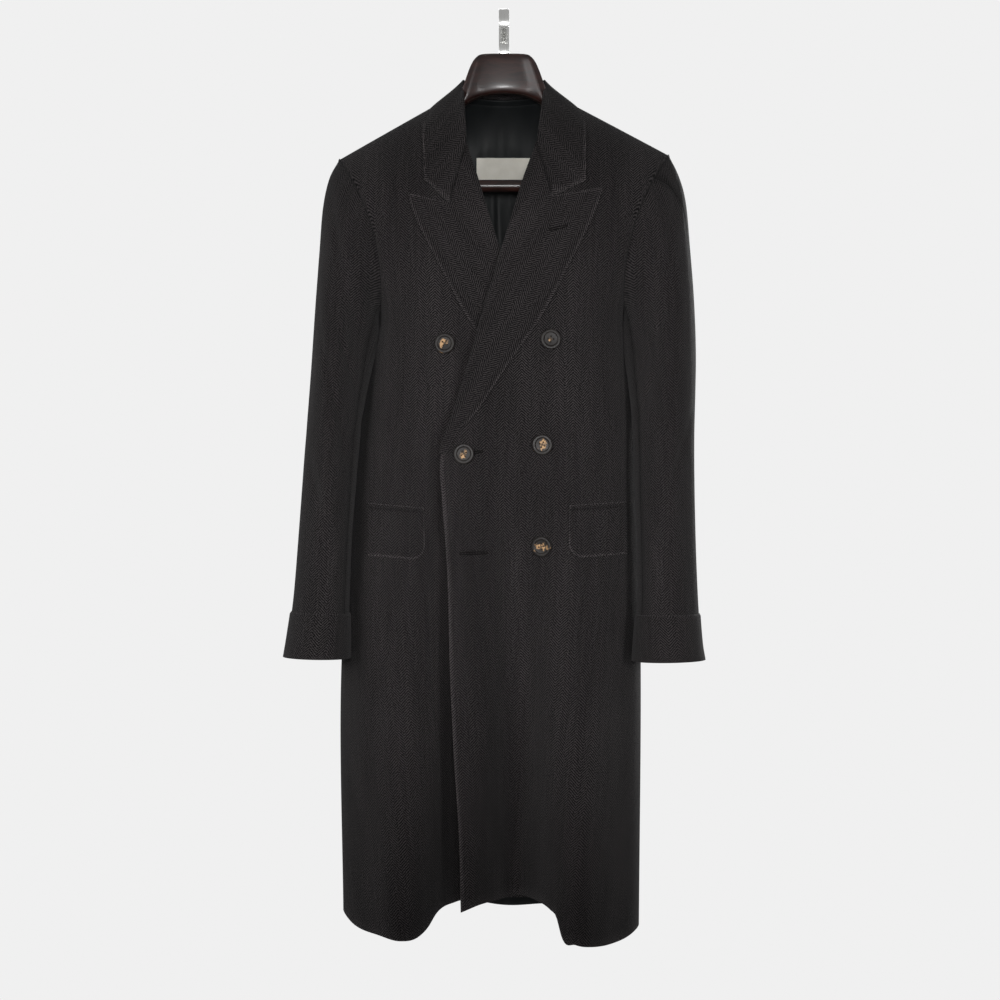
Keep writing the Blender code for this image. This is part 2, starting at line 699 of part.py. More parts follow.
def material(finish):
    """The material of a finish, made once."""
    made = bpy.data.materials.get(finish.name)
    if made is None:
        made = bpy.data.materials.new(finish.name)
        made.use_nodes = True
        shader = made.node_tree.nodes["Principled BSDF"]
        shader.inputs["Base Color"].default_value = (*finish.color, 1.0)
        shader.inputs["Roughness"].default_value = finish.roughness
        shader.inputs["Metallic"].default_value = finish.metallic
    return made


def add_object(name, data, finish, parts):
    """Put a mesh or curve into the part's collection under its node name."""
    data.materials.append(material(finish))
    obj = bpy.data.objects.new(name, data)
    parts.objects.link(obj)
    return obj


def add_sheet(name, points, finish, parts, turned=False, closed=False, wall=WALL):
    """Make a cloth wall from a grid of its outer points."""
    rows, columns = points.shape[:2]
    reach = columns if closed else columns - 1
    faces = []
    for i in range(rows - 1):
        for j in range(reach):
            right = (j + 1) % columns
            face = [i * columns + j, i * columns + right, (i + 1) * columns + right, (i + 1) * columns + j]
            faces.append(face[::-1] if turned else face)
    mesh = bpy.data.meshes.new(name)
    mesh.from_pydata((points.reshape(-1, 3) * MM).tolist(), [], faces)
    mesh.shade_smooth()
    obj = add_object(name, mesh, finish, parts)
    thicken = obj.modifiers.new("wall", "SOLIDIFY")
    thicken.thickness = wall * MM
    thicken.offset = -1.0
    return obj


def add_button(place, parts):
    """Turn a button from its profile and seat it on its front."""
    side = RIGHT if place.side == "right" else LEFT
    mesh = bpy.data.meshes.new(place.name)
    outline = [(row.radius * MM, 0.0, row.height * MM) for row in BUTTON_PROFILE]
    mesh.from_pydata(outline, [(i, i + 1) for i in range(len(outline) - 1)], [])
    obj = add_object(place.name, mesh, HORN, parts)
    turn = obj.modifiers.new("turned", "SCREW")
    turn.axis = "Z"
    turn.steps = BUTTON_STEPS
    turn.render_steps = BUTTON_STEPS
    turn.use_merge_vertices = True
    turn.merge_threshold = 0.00001
    turn.use_smooth_shade = True
    seat, above = (on_front(place.x, place.z, side, lift) for lift in (BUTTON_LIFT, BUTTON_LIFT + 1.0))
    facing = Vector(above - seat).to_track_quat("Z", "Y")
    obj.matrix_world = Matrix.Translation(Vector(seat) * MM) @ facing.to_matrix().to_4x4()
    return obj


def hanger_ring(row, sign):
    """One rounded section of the hanger."""
    middle = (row.top + row.bottom) / 2
    height = (row.top - row.bottom) / 2
    ring = []
    for i in range(HANGER_SIDES):
        turn = 2 * math.pi * (i + 0.5) / HANGER_SIDES
        across = math.copysign(abs(math.cos(turn)) ** (2 / HANGER_POWER), math.cos(turn))
        up = math.copysign(abs(math.sin(turn)) ** (2 / HANGER_POWER), math.sin(turn))
        ring.append(Vector((sign * row.x, row.half_depth * across, middle + height * up)) * MM)
    return ring


def add_hanger_body(parts, cutters):
    """Loft the hanger's head and arms, and bore the arms for the bar."""
    rings = [hanger_ring(row, -1) for row in reversed(HANGER)]
    rings += [hanger_ring(row, 1) for row in HANGER[1:]]
    form = bmesh.new()
    loops = [[form.verts.new(point) for point in ring] for ring in rings]
    for near, far in zip(loops, loops[1:]):
        for i in range(HANGER_SIDES):
            after = (i + 1) % HANGER_SIDES
            form.faces.new((near[i], near[after], far[after], far[i]))
    form.faces.new(loops[0])
    form.faces.new(loops[-1])
    bmesh.ops.recalc_face_normals(form, faces=form.faces)
    mesh = bpy.data.meshes.new("hanger_body")
    form.to_mesh(mesh)
    form.free()
    mesh.shade_smooth()
    body = add_object("hanger_body", mesh, WOOD, parts)
    bore = add_rod("bar_bore", BAR_RADIUS + SEAM_GAP, BAR_HALF + SEAM_GAP, WOOD, cutters)
    bore.hide_render = True
    bore.display_type = "WIRE"
    cut = body.modifiers.new("bar_bore", "BOOLEAN")
    cut.operation = "DIFFERENCE"
    cut.solver = "EXACT"
    cut.object = bore
    return body


def add_rod(name, radius, half_length, finish, parts):
    """A round rod along X at the height of the bar."""
    form = bmesh.new()
    bmesh.ops.create_cone(
        form, cap_ends=True, segments=16, radius1=radius * MM, radius2=radius * MM,
        depth=2 * half_length * MM, matrix=Matrix.Rotation(math.pi / 2, 4, "Y"),
    )
    mesh = bpy.data.meshes.new(name)
    form.to_mesh(mesh)
    form.free()
    mesh.shade_smooth()
    obj = add_object(name, mesh, finish, parts)
    obj.location = (0.0, 0.0, BAR_Z * MM)
    return obj


def hook_path():
    """Middle line of the hook's strap, as (y, z) points from its foot to its tip."""
    radius = HOOK_INNER_RADIUS + HOOK_STRAP / 2
    turns = np.radians(np.linspace(HOOK_FIRST_TURN, HOOK_LAST_TURN, HOOK_STEPS + 1))
    arc = [(radius * math.cos(t), radius * math.sin(t) - HOOK_INNER_RADIUS) for t in turns]
    start_y, start_z = arc[0]
    stem = [(0.0, HOOK_FOOT_Z), (0.0, HOOK_FOOT_Z + HOOK_STEM)]
    swerve = [(start_y * row.share, start_z - row.below) for row in HOOK_SWERVE]
    return np.array(stem + swerve + arc)


def add_hook(parts):
    """Extrude the bent strap of the hook."""
    path = hook_path()
    along = np.gradient(path, axis=0)
    along /= np.linalg.norm(along, axis=1)[:, None]
    offset = np.stack([-along[:, 1], along[:, 0]], axis=1) * HOOK_STRAP / 2
    outline = np.concatenate([path + offset, (path - offset)[::-1]]) * MM
    data = bpy.data.curves.new("hanger_hook", "CURVE")
    data.dimensions = "2D"
    data.fill_mode = "BOTH"
    data.extrude = HOOK_WIDTH / 2 * MM
    spline = data.splines.new("POLY")
    spline.points.add(len(outline) - 1)
    for point, (y, z) in zip(spline.points, outline):
        point.co = (y, z, 0.0, 1.0)
    spline.use_cyclic_u = True
    obj = add_object("hanger_hook", data, CHROME, parts)
    obj.matrix_world = Matrix(((0, 0, 1, 0), (1, 0, 0, 0), (0, 1, 0, 0), (0, 0, 0, 1)))
    return obj


def add_side(side, parts):
    """Make the cloth pieces of one side of the coat."""
    right = side is RIGHT
    add_sheet("front_" + side.name, front_grid(side), WOOL, parts, turned=right)
    add_sheet("lapel_" + side.name, lapel_grid(side), WOOL, parts, turned=right)
    add_sheet("top_sleeve_" + side.name, sleeve_grid(side, False), WOOL, parts, turned=right)
    add_sheet("under_sleeve_" + side.name, sleeve_grid(side, True), WOOL, parts, turned=right)
    add_sheet("cuff_" + side.name, cuff_grid(side), WOOL, parts, turned=right, closed=True)
    add_sheet("pocket_flap_" + side.name, flap_grid(side), WOOL, parts, turned=not right)
    add_sheet("pocket_welt_" + side.name, welt_grid(side), WOOL, parts, turned=right, wall=WELT_WALL)


def main():
    """Build the coat and the hanger."""
    clear_scene()
    parts = collection("overcoat_on_hanger")
    cutters = collection("cutters")
    for side in (RIGHT, LEFT):
        add_side(side, parts)
    add_sheet("back", back_grid(), WOOL, parts, turned=True)
    add_sheet("collar_fall", collar_grid(), WOOL, parts)
    add_sheet("collar_stand", stand_grid(), WOOL, parts, turned=True)
    add_sheet("back_lining", lining_grid(), SATIN, parts, turned=True, wall=LINING_WALL)
    add_sheet("label", label_grid(), LABEL, parts, turned=True, wall=LABEL_WALL)
    for place in BUTTONS:
        add_button(place, parts)
    add_hanger_body(parts, cutters)
    add_rod("hanger_bar", BAR_RADIUS, BAR_HALF, WOOD, parts)
    add_hook(parts)


main()
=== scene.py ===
"""Looks of a double-breasted overcoat that hangs on a wooden hanger.

The cloth is made again as thin, creased shells on the form of the solids, and the buttons, the
hanger and the hook are modelled with their rims, holes and hollows. Sizes are in millimetres and
become metres when a mesh is made. X runs to the wearer's left, Y to the back and Z up.
"""

import logging
import math
from dataclasses import dataclass
from enum import Enum
from typing import Callable, NamedTuple, Sequence

import bpy
import numpy as np
from mathutils import Matrix, Vector


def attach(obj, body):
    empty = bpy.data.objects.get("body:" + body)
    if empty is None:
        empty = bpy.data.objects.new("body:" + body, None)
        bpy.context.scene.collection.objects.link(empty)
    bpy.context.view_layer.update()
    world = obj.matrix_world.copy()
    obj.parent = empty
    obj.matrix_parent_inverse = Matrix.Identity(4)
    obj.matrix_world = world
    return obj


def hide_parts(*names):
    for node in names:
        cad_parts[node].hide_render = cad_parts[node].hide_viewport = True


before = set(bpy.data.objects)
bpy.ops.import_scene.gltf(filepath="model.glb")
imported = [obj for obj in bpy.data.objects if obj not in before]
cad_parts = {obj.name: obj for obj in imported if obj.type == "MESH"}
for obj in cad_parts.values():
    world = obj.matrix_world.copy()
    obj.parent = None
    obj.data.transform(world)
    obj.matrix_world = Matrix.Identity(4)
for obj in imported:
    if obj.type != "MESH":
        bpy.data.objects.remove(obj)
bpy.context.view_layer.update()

MM = 0.001
BODY_NAME = "root"
CLOTH_UV = "cloth"
# Mesh attribute that holds painted highlight along free edges and painted shade along seams, multiplied into
# the wool's colour.
PAINTED_EDGE_SHADING = "painted_edge_shading"
HEART = "heart"
CREASE_FADE = 0.4
# Painted highlight on free edges, painted shade on seams, and the share of either that the row next to a
# border takes.
FREE_EDGE_HIGHLIGHT = 1.0
SEAM_SHADE = -0.5
INNER_TONE = 0.6
LEVEL = (0, 1)
UPRIGHT = (1, 2)
Array = np.ndarray
Colour = tuple[float, float, float, float]
Cut = tuple[float, float]
Piece = bpy.types.Object
Socket = bpy.types.NodeSocket
log = logging.getLogger("overcoat")


class Slot(Enum):
    """Material slots of the part."""

    WOOL = "charcoal_wool"
    SATIN = "lining_satin"
    LABEL = "label_cream"
    HORN = "button_horn"
    WOOD = "hanger_wood"
    CHROME = "hook_chrome"


class BodyRow(NamedTuple):
    """One level section of the body: its side ends, its depths and its side seam."""

    z: float
    right: float
    left: float
    front: float
    back: float
    side: float


class Fold(NamedTuple):
    """A hanging fold that grows from its start to the hem."""

    x: float
    spread: float
    start: float
    depth: float
    level_from: float | None = None


class Crease(NamedTuple):
    """A soft trough along a line, or a ridge where its depth is negative."""

    x: float
    z: float
    end_x: float
    end_z: float
    width: float
    depth: float
    sag: float = 0.0


class HemRow(NamedTuple):
    """Height of the hem at one place across."""

    x: float
    z: float


class EdgeRow(NamedTuple):
    """Place of an edge at one height, measured towards its own side."""

    z: float
    x: float


class LapelTop(NamedTuple):
    """Notch and tip of a lapel and the collar's point, measured towards their own side."""

    notch_x: float
    notch_z: float
    tip_x: float
    tip_z: float
    point_x: float
    point_z: float


class SleeveRow(NamedTuple):
    """One ring of a sleeve: its outer and inner ends, half depth, middle and bow."""

    out_x: float
    out_z: float
    in_x: float
    in_z: float
    half_depth: float
    middle_y: float
    bow: float


class SleeveCrease(NamedTuple):
    """A slanted trough round part of a sleeve; turns in degrees, rows down the sleeve."""

    turn: float
    row: float
    slant: float
    spread: float
    reach: float
    depth: float


class Pocket(NamedTuple):
    """Front and rear end of a pocket opening."""

    front_x: float
    rear_x: float
    front_z: float
    rear_z: float


class CollarRow(NamedTuple):
    """Fold and outer edge of the collar at one place from the middle of the back."""

    fold_x: float
    fold_y: float
    fold_z: float
    edge_x: float
    edge_y: float
    edge_z: float


class StandRow(NamedTuple):
    """Seam and top of the collar's stand at one place from the middle of the back."""

    seam_x: float
    seam_y: float
    seam_z: float
    top_x: float
    top_y: float
    top_z: float


def hermite(knots: Sequence[float], values: Sequence[float], at: Array) -> Array:
    """Smooth curve through values, with each knot's slope taken from its neighbours.

    Args:
        knots: Rising places of the values.
        values: Values at the knots.
        at: Places to read.

    Returns:
        The values read.
    """
    knots = np.asarray(knots, float)
    values = np.asarray(values, float)
    at = np.clip(np.asarray(at, float), knots[0], knots[-1])
    slopes = np.gradient(values, knots)
    first = np.clip(np.searchsorted(knots, at, side="right") - 1, 0, len(knots) - 2)
    span = knots[first + 1] - knots[first]
    t = (at - knots[first]) / span
    start = (2 * t**3 - 3 * t**2 + 1) * values[first] + (t**3 - 2 * t**2 + t) * span * slopes[first]
    end = (3 * t**2 - 2 * t**3) * values[first + 1] + (t**3 - t**2) * span * slopes[first + 1]
    return start + end


def table_curve(rows: Sequence[tuple], key: str, column: str, at: Array) -> Array:
    """Read a column of a table as a smooth curve over another column."""
    return hermite([getattr(row, key) for row in rows], [getattr(row, column) for row in rows], at)


def row_curve(rows: Sequence[tuple], column: str, at: Array) -> Array:
    """Read a column of a table as a smooth curve over the row number."""
    return hermite(range(len(rows)), [getattr(row, column) for row in rows], at)


def ease(value: Array) -> Array:
    """Go from 0 to 1 with a soft start and a soft end."""
    value = np.clip(value, 0.0, 1.0)
    return value * value * (3.0 - 2.0 * value)


def bell(value: Array) -> Array:
    """A soft hump of height 1 round zero."""
    return np.exp(-(value**2))


def stack(x: Array, y: Array, z: Array) -> Array:
    """Join coordinate arrays into points."""
    return np.stack(np.broadcast_arrays(x, y, z), axis=-1)


def crease_depth(creases: Sequence[Crease], x: Array, z: Array) -> Array:
    """Sum of the creases that pass near each point.

    Args:
        creases: The creases of one panel.
        x: Places across.
        z: Heights.

    Returns:
        How far each point sinks into the cloth.
    """
    total = np.zeros(np.broadcast(x, z).shape)
    for crease in creases:
        run_x = crease.end_x - crease.x
        run_z = crease.end_z - crease.z
        length = math.hypot(run_x, run_z)
        along = ((x - crease.x) * run_x + (z - crease.z) * run_z) / length**2
        aside = ((x - crease.x) * run_z - (z - crease.z) * run_x) / length
        aside = aside - crease.sag * 4.0 * along * (1.0 - along)
        fade = ease(along / CREASE_FADE) * ease((1.0 - along) / CREASE_FADE)
        total = total + crease.depth * fade * bell(aside / crease.width)
    return total


@dataclass(frozen=True)
class SideForm:
    """Sizes of one side of the coat, with what runs towards that side positive."""

    name: str
    sign: int
    lap: float
    folds: tuple[Fold, ...]
    creases: tuple[Crease, ...]
    hem: tuple[HemRow, ...]
    edge: tuple[EdgeRow, ...]
    top: LapelTop
    sleeve: tuple[SleeveRow, ...]
    sleeve_creases: tuple[SleeveCrease, ...]
    hind_start: float
    hind_end: float
    pocket: Pocket

    @property
    def right(self) -> bool:
        """Whether this is the wearer's right side."""
        return self.sign < 0


@dataclass(frozen=True)
class BodyForm:
    """Surfaces of the hanging body, which every cloth piece follows."""

    rows: tuple[BodyRow, ...]
    back_folds: tuple[Fold, ...]
    back_creases: tuple[Crease, ...]
    neck_x: float = 64.0
    neck_z: float = -112.0
    neck_soft: float = 15.0
    tip_x: float = 224.0
    tip_z_right: float = -203.0
    tip_z_left: float = -197.0
    tip_blend: float = 80.0
    shoulder_round: float = 90.0
    section_power: float = 2.8
    fold_growth: float = 1.2
    lap_top: float = -220.0
    lap_full: float = -320.0

    def ridge(self, x: Array) -> Array:
        """Height of the shoulder line, carried on over the neck.

        Args:
            x: Places across.

        Returns:
            The heights.
        """
        across = (x + self.tip_blend / 2) / self.tip_blend
        tip_z = self.tip_z_right + (self.tip_z_left - self.tip_z_right) * ease(across)
        slope = (self.neck_z - tip_z) / (self.tip_x - self.neck_x)
        away = np.hypot(x, self.neck_soft) - math.hypot(self.neck_x, self.neck_soft)
        return self.neck_z - slope * away

    def rounding(self, x: Array, z: Array) -> Array:
        """Share of the full depth that the cloth has reached below the shoulder line."""
        drop = np.clip((self.ridge(x) - z) / self.shoulder_round, 0.0, 1.0)
        return np.sqrt(1.0 - (1.0 - drop) ** 2)

    def section(self, x: Array, z: Array) -> Array:
        """Share of the full depth across a level section.

        Args:
            x: Places across.
            z: Heights.

        Returns:
            The shares.
        """
        right = table_curve(self.rows, "z", "right", z)
        left = table_curve(self.rows, "z", "left", z)
        across = np.abs(x - (left + right) / 2) / ((left - right) / 2)
        return np.clip(1.0 - across**self.section_power, 0.0, 1.0) ** (1.0 / self.section_power)

    def folds(self, folds: Sequence[Fold], x: Array, z: Array) -> Array:
        """Sum of the hanging folds.

        Args:
            folds: Folds of one panel.
            x: Places across.
            z: Heights.

        Returns:
            How far each point sinks into the body.
        """
        total = np.zeros(np.broadcast(x, z).shape)
        for fold in folds:
            away = (x - fold.x) / fold.spread
            if fold.level_from is not None:
                away = np.where(x > fold.level_from, 0.0, away)
            growth = np.clip((fold.start - z) / (fold.start - self.rows[0].z), 0.0, 1.0)
            total = total + fold.depth * growth**self.fold_growth * np.exp(-(away**2) / 2)
        return total

    def lap_share(self, z: Array) -> Array:
        """How much of the overlap's offset applies at a height."""
        return ease((self.lap_top - z) / (self.lap_top - self.lap_full))

    def front(self, x: Array, z: Array, side: SideForm) -> Array:
        """Outer surface of a front.

        Args:
            x: Places across.
            z: Heights.
            side: Side of the front.

        Returns:
            Depths along Y.
        """
        depth = table_curve(self.rows, "z", "front", z) * self.rounding(x, z)
        seam = table_curve(self.rows, "z", "side", z)
        sunk = self.folds(side.folds, x, z) + crease_depth(side.creases, x, z)
        return seam + self.section(x, z) * (side.lap * self.lap_share(z) + sunk - depth - seam)

    def back(self, x: Array, z: Array) -> Array:
        """Outer surface of the back.

        Args:
            x: Places across.
            z: Heights.

        Returns:
            Depths along Y.
        """
        depth = table_curve(self.rows, "z", "back", z) * self.rounding(x, z)
        seam = table_curve(self.rows, "z", "side", z)
        sunk = self.folds(self.back_folds, x, z) + crease_depth(self.back_creases, x, z)
        return seam + self.section(x, z) * (depth - sunk - seam)

    def on_front(self, x: Array, z: Array, side: SideForm, lift: Array) -> Array:
        """Points lifted off a front along its surface normal.

        Args:
            x: Places across.
            z: Heights.
            side: Side of the front.
            lift: Distance off the cloth.

        Returns:
            The lifted points.
        """
        step = 1.0
        y = self.front(x, z, side)
        slope_x = (self.front(x + step, z, side) - self.front(x - step, z, side)) / (2 * step)
        slope_z = (self.front(x, z + step, side) - self.front(x, z - step, side)) / (2 * step)
        length = np.sqrt(slope_x**2 + slope_z**2 + 1.0)
        return stack(x + slope_x / length * lift, y - lift / length, z + slope_z / length * lift)

    def armhole(self, side: SideForm, turn: Array) -> Array:
        """Armhole seam of a side, at turns from the shoulder tip over the front to the armpit.

        Args:
            side: Side of the armhole.
            turn: Turns in radians.

        Returns:
            Points of the seam.
        """
        first = side.sleeve[0]
        middle_x = (first.out_x + first.in_x) / 2
        middle_z = (first.out_z + first.in_z) / 2
        x = middle_x + (first.out_x - middle_x) * np.cos(turn)
        x = x - side.sign * first.bow * np.sin(turn) ** 2
        z = middle_z + (first.out_z - middle_z) * np.cos(turn)
        y = np.where(np.sin(turn) >= 0, self.front(x, z, side), self.back(x, z))
        return stack(x, y, z)


ROLL_END_Z = -605.0
GORGE_Z = -190.0
NOTCH_SHARE = 0.4
END_SHARPNESS = 6
ROLL_LINE = (
    EdgeRow(ROLL_END_Z, -83),
    EdgeRow(-577, -76),
    EdgeRow(-534, -62),
    EdgeRow(-455, -38),
    EdgeRow(-339, -3.5),
    EdgeRow(-285, 13),
    EdgeRow(-238, 27),
    EdgeRow(-190, 43),
    EdgeRow(-151, 53),
    EdgeRow(-112, 64),
)
RIGHT_ROLL_LINE = ROLL_LINE[:4] + (
    EdgeRow(-339, 4.5),
    EdgeRow(-285, 22),
    EdgeRow(-238, 36),
    EdgeRow(-190, 50),
    EdgeRow(-151, 57),
    EdgeRow(-112, 64),
)
LAPPING_EDGE = (
    EdgeRow(-1209, -57),
    EdgeRow(-1118, -59),
    EdgeRow(-1006, -66),
    EdgeRow(-901, -71),
    EdgeRow(-738, -76),
    EdgeRow(-671, -81),
)
UNDER_EDGE = (EdgeRow(-1204, -75), EdgeRow(-740, -81))
LAPEL_EDGE = (
    EdgeRow(-603, -76),
    EdgeRow(-573, -60),
    EdgeRow(-551, -38),
    EdgeRow(-484, 6.5),
    EdgeRow(-424, 48),
    EdgeRow(-362, 81),
    EdgeRow(-292, 116),
)
SLEEVE_CREASES = (
    SleeveCrease(120, 3.2, 0.0, 26, 1.0, 5),
    SleeveCrease(70, 4.6, 0.0, 30, 0.8, -4),
    SleeveCrease(125, 5.6, 0.0, 28, 0.7, 5),
    SleeveCrease(60, 6.6, 0.0, 24, 0.7, 4),
    SleeveCrease(250, 5.0, 0.0, 40, 1.2, 5),
    SleeveCrease(180, 2.2, 0.0, 36, 1.9, -11),
)
RIGHT_SLEEVE_CREASES = SLEEVE_CREASES + (
    SleeveCrease(112, 4.15, 0.014, 34, 0.16, 3.4),
    SleeveCrease(96, 5.05, 0.018, 42, 0.15, 3.0),
    SleeveCrease(118, 5.75, -0.012, 30, 0.13, 2.8),
    SleeveCrease(70, 6.5, 0.012, 36, 0.17, 2.6),
    SleeveCrease(105, 7.35, 0.016, 30, 0.14, 2.2),
    SleeveCrease(60, 2.0, 0.02, 26, 0.3, 2.6),
    SleeveCrease(230, 4.4, -0.014, 44, 0.18, 3.2),
    SleeveCrease(262, 5.7, 0.012, 40, 0.16, 2.8),
)
LEFT_SLEEVE_CREASES = SLEEVE_CREASES + (
    SleeveCrease(108, 3.75, 0.016, 36, 0.17, 3.2),
    SleeveCrease(122, 4.75, 0.012, 30, 0.14, 3.2),
    SleeveCrease(92, 5.5, -0.014, 40, 0.16, 2.8),
    SleeveCrease(74, 6.25, 0.015, 34, 0.14, 2.6),
    SleeveCrease(110, 7.1, -0.01, 28, 0.15, 2.4),
    SleeveCrease(52, 1.8, 0.022, 24, 0.28, 2.6),
    SleeveCrease(240, 4.9, 0.014, 42, 0.18, 3.2),
    SleeveCrease(270, 6.2, -0.012, 38, 0.16, 2.6),
)
RIGHT = SideForm(
    name="right",
    sign=-1,
    lap=5.0,
    folds=(
        Fold(-55, 30, -520, 84, -55),
        Fold(-140, 34, -640, -34),
    ),
    creases=(
        Crease(-165, -300, -118, -520, 26, 5.0, 8),
        Crease(-150, -420, -92, -470, 15, 1.6, -5),
        Crease(-160, -560, -100, -600, 17, 1.8, 5),
        Crease(-176, -760, -192, -1120, 14, -3.2, 4),
        Crease(-104, -780, -118, -1180, 12, 2.4, -3),
    ),
    hem=(
        HemRow(-219, -1219),
        HemRow(-204, -1230),
        HemRow(-162, -1239),
        HemRow(-136, -1243),
        HemRow(-111, -1239),
        HemRow(-100, -1230),
        HemRow(-91, -1217),
        HemRow(-65, -1208),
        HemRow(-30, -1204),
        HemRow(75, -1204),
    ),
    edge=UNDER_EDGE + RIGHT_ROLL_LINE,
    top=LapelTop(72, -271, 127, -258, 105, -239),
    sleeve=(
        SleeveRow(-224, -203, -168, -415, 62, 0, 22),
        SleeveRow(-237, -229, -175, -425, 69, -5, 14),
        SleeveRow(-245, -270, -177, -440, 71, -12, 6),
        SleeveRow(-249, -330, -180, -462, 69, -20, 0),
        SleeveRow(-253, -405, -184, -500, 64, -38, 0),
        SleeveRow(-258, -500, -190, -556, 60, -54, 0),
        SleeveRow(-265, -600, -196, -632, 56, -64, 0),
        SleeveRow(-272, -700, -202, -714, 54, -69, 0),
        SleeveRow(-279, -790, -205, -794, 52, -72, 0),
        SleeveRow(-286, -842, -205, -844, 51, -74, 0),
        SleeveRow(-291, -872, -205, -874, 52, -74, 0),
    ),
    sleeve_creases=RIGHT_SLEEVE_CREASES,
    hind_start=-15.0,
    hind_end=-40.0,
    pocket=Pocket(-106, -181, -680, -674),
)
LEFT = SideForm(
    name="left",
    sign=1,
    lap=-3.0,
    folds=(
        Fold(17, 27, -540, 78),
        Fold(106, 33, -600, -48),
    ),
    creases=(
        Crease(162, -300, 116, -520, 26, 5.0, -8),
        Crease(152, -410, 96, -462, 15, 1.6, 5),
        Crease(150, -548, 84, -610, 18, 2.0, -6),
        Crease(-58, -612, 30, -640, 14, 1.4, 6),
        Crease(38, -740, 46, -1190, 13, 2.6, 4),
        Crease(148, -760, 160, -1180, 13, 2.8, -4),
        Crease(-28, -780, -20, -1180, 18, -2.4, 3),
    ),
    hem=(
        HemRow(-57, -1208),
        HemRow(-33, -1200),
        HemRow(-2, -1199),
        HemRow(35, -1197.5),
        HemRow(61, -1205),
        HemRow(68, -1211),
        HemRow(75, -1236),
        HemRow(93, -1244),
        HemRow(114, -1247.5),
        HemRow(140, -1249.5),
        HemRow(163, -1247),
        HemRow(184, -1239),
    ),
    edge=LAPPING_EDGE + ROLL_LINE,
    top=LapelTop(63, -263, 131, -250, 108, -240),
    sleeve=(
        SleeveRow(224, -197, 163, -415, 62, 0, 22),
        SleeveRow(237, -225, 166, -424, 69, -5, 14),
        SleeveRow(246, -262, 168, -438, 71, -12, 6),
        SleeveRow(251, -325, 168, -460, 69, -20, 0),
        SleeveRow(255, -400, 169, -498, 64, -38, 0),
        SleeveRow(256, -480, 171, -552, 60, -54, 0),
        SleeveRow(253, -590, 173, -630, 56, -64, 0),
        SleeveRow(254, -700, 176, -712, 54, -69, 0),
        SleeveRow(257, -790, 177, -794, 52, -72, 0),
        SleeveRow(261, -850, 173, -848, 51, -74, 0),
        SleeveRow(265, -876, 171, -878, 52, -74, 0),
    ),
    sleeve_creases=LEFT_SLEEVE_CREASES,
    hind_start=48.0,
    hind_end=-40.0,
    pocket=Pocket(86, 161, -677, -672),
)
SIDES = (RIGHT, LEFT)
BODY = BodyForm(
    rows=(
        BodyRow(-1240, -219, 184, 95, 100, 14),
        BodyRow(-880, -222, 187, 97, 96, 24),
        BodyRow(-760, -216, 186, 99, 96, 28),
        BodyRow(-650, -208, 184, 100, 98, 28),
        BodyRow(-520, -193, 180, 99, 100, 34),
        BodyRow(-465, -182, 171, 98, 100, 30),
        BodyRow(-415, -168, 163, 95, 99, 0),
        BodyRow(-300, -218, 216, 81, 93, 0),
        BodyRow(-200, -242, 242, 59, 84, 0),
        BodyRow(-110, -242, 242, 44, 78, 0),
    ),
    back_folds=(
        Fold(-128, 36, -520, 26),
        Fold(-62, 28, -620, -20),
        Fold(4, 30, -480, 22),
        Fold(72, 30, -600, -18),
        Fold(118, 26, -560, 24),
    ),
    back_creases=(
        Crease(-150, -290, -96, -520, 24, 5.0, 8),
        Crease(148, -300, 92, -540, 24, 5.2, -9),
        Crease(-70, -180, 62, -196, 16, 2.0, 10),
        Crease(-120, -560, -30, -610, 18, 2.0, 6),
        Crease(116, -540, 40, -600, 17, 1.8, -6),
        Crease(-30, -700, -36, -1180, 14, 3.0, 5),
        Crease(100, -760, 94, -1150, 13, -2.8, -4),
        Crease(-160, -820, -172, -1190, 15, 2.6, 4),
    ),
)


class Finish:
    """A procedural material that is made once and shared by its pieces."""

    name: str = "finish"
    cache: dict[str, bpy.types.Material] = {}

    def material(self) -> bpy.types.Material:
        """The finish's material, made on the first call.

        Returns:
            The material.
        """
        if self.name not in Finish.cache:
            made = bpy.data.materials.new(self.name)
            made.use_nodes = True
            self.dress(NodeDesk(made.node_tree))
            Finish.cache[self.name] = made
        return Finish.cache[self.name]

    def dress(self, desk: "NodeDesk") -> None:
        """Set up the nodes of the material."""
        raise NotImplementedError


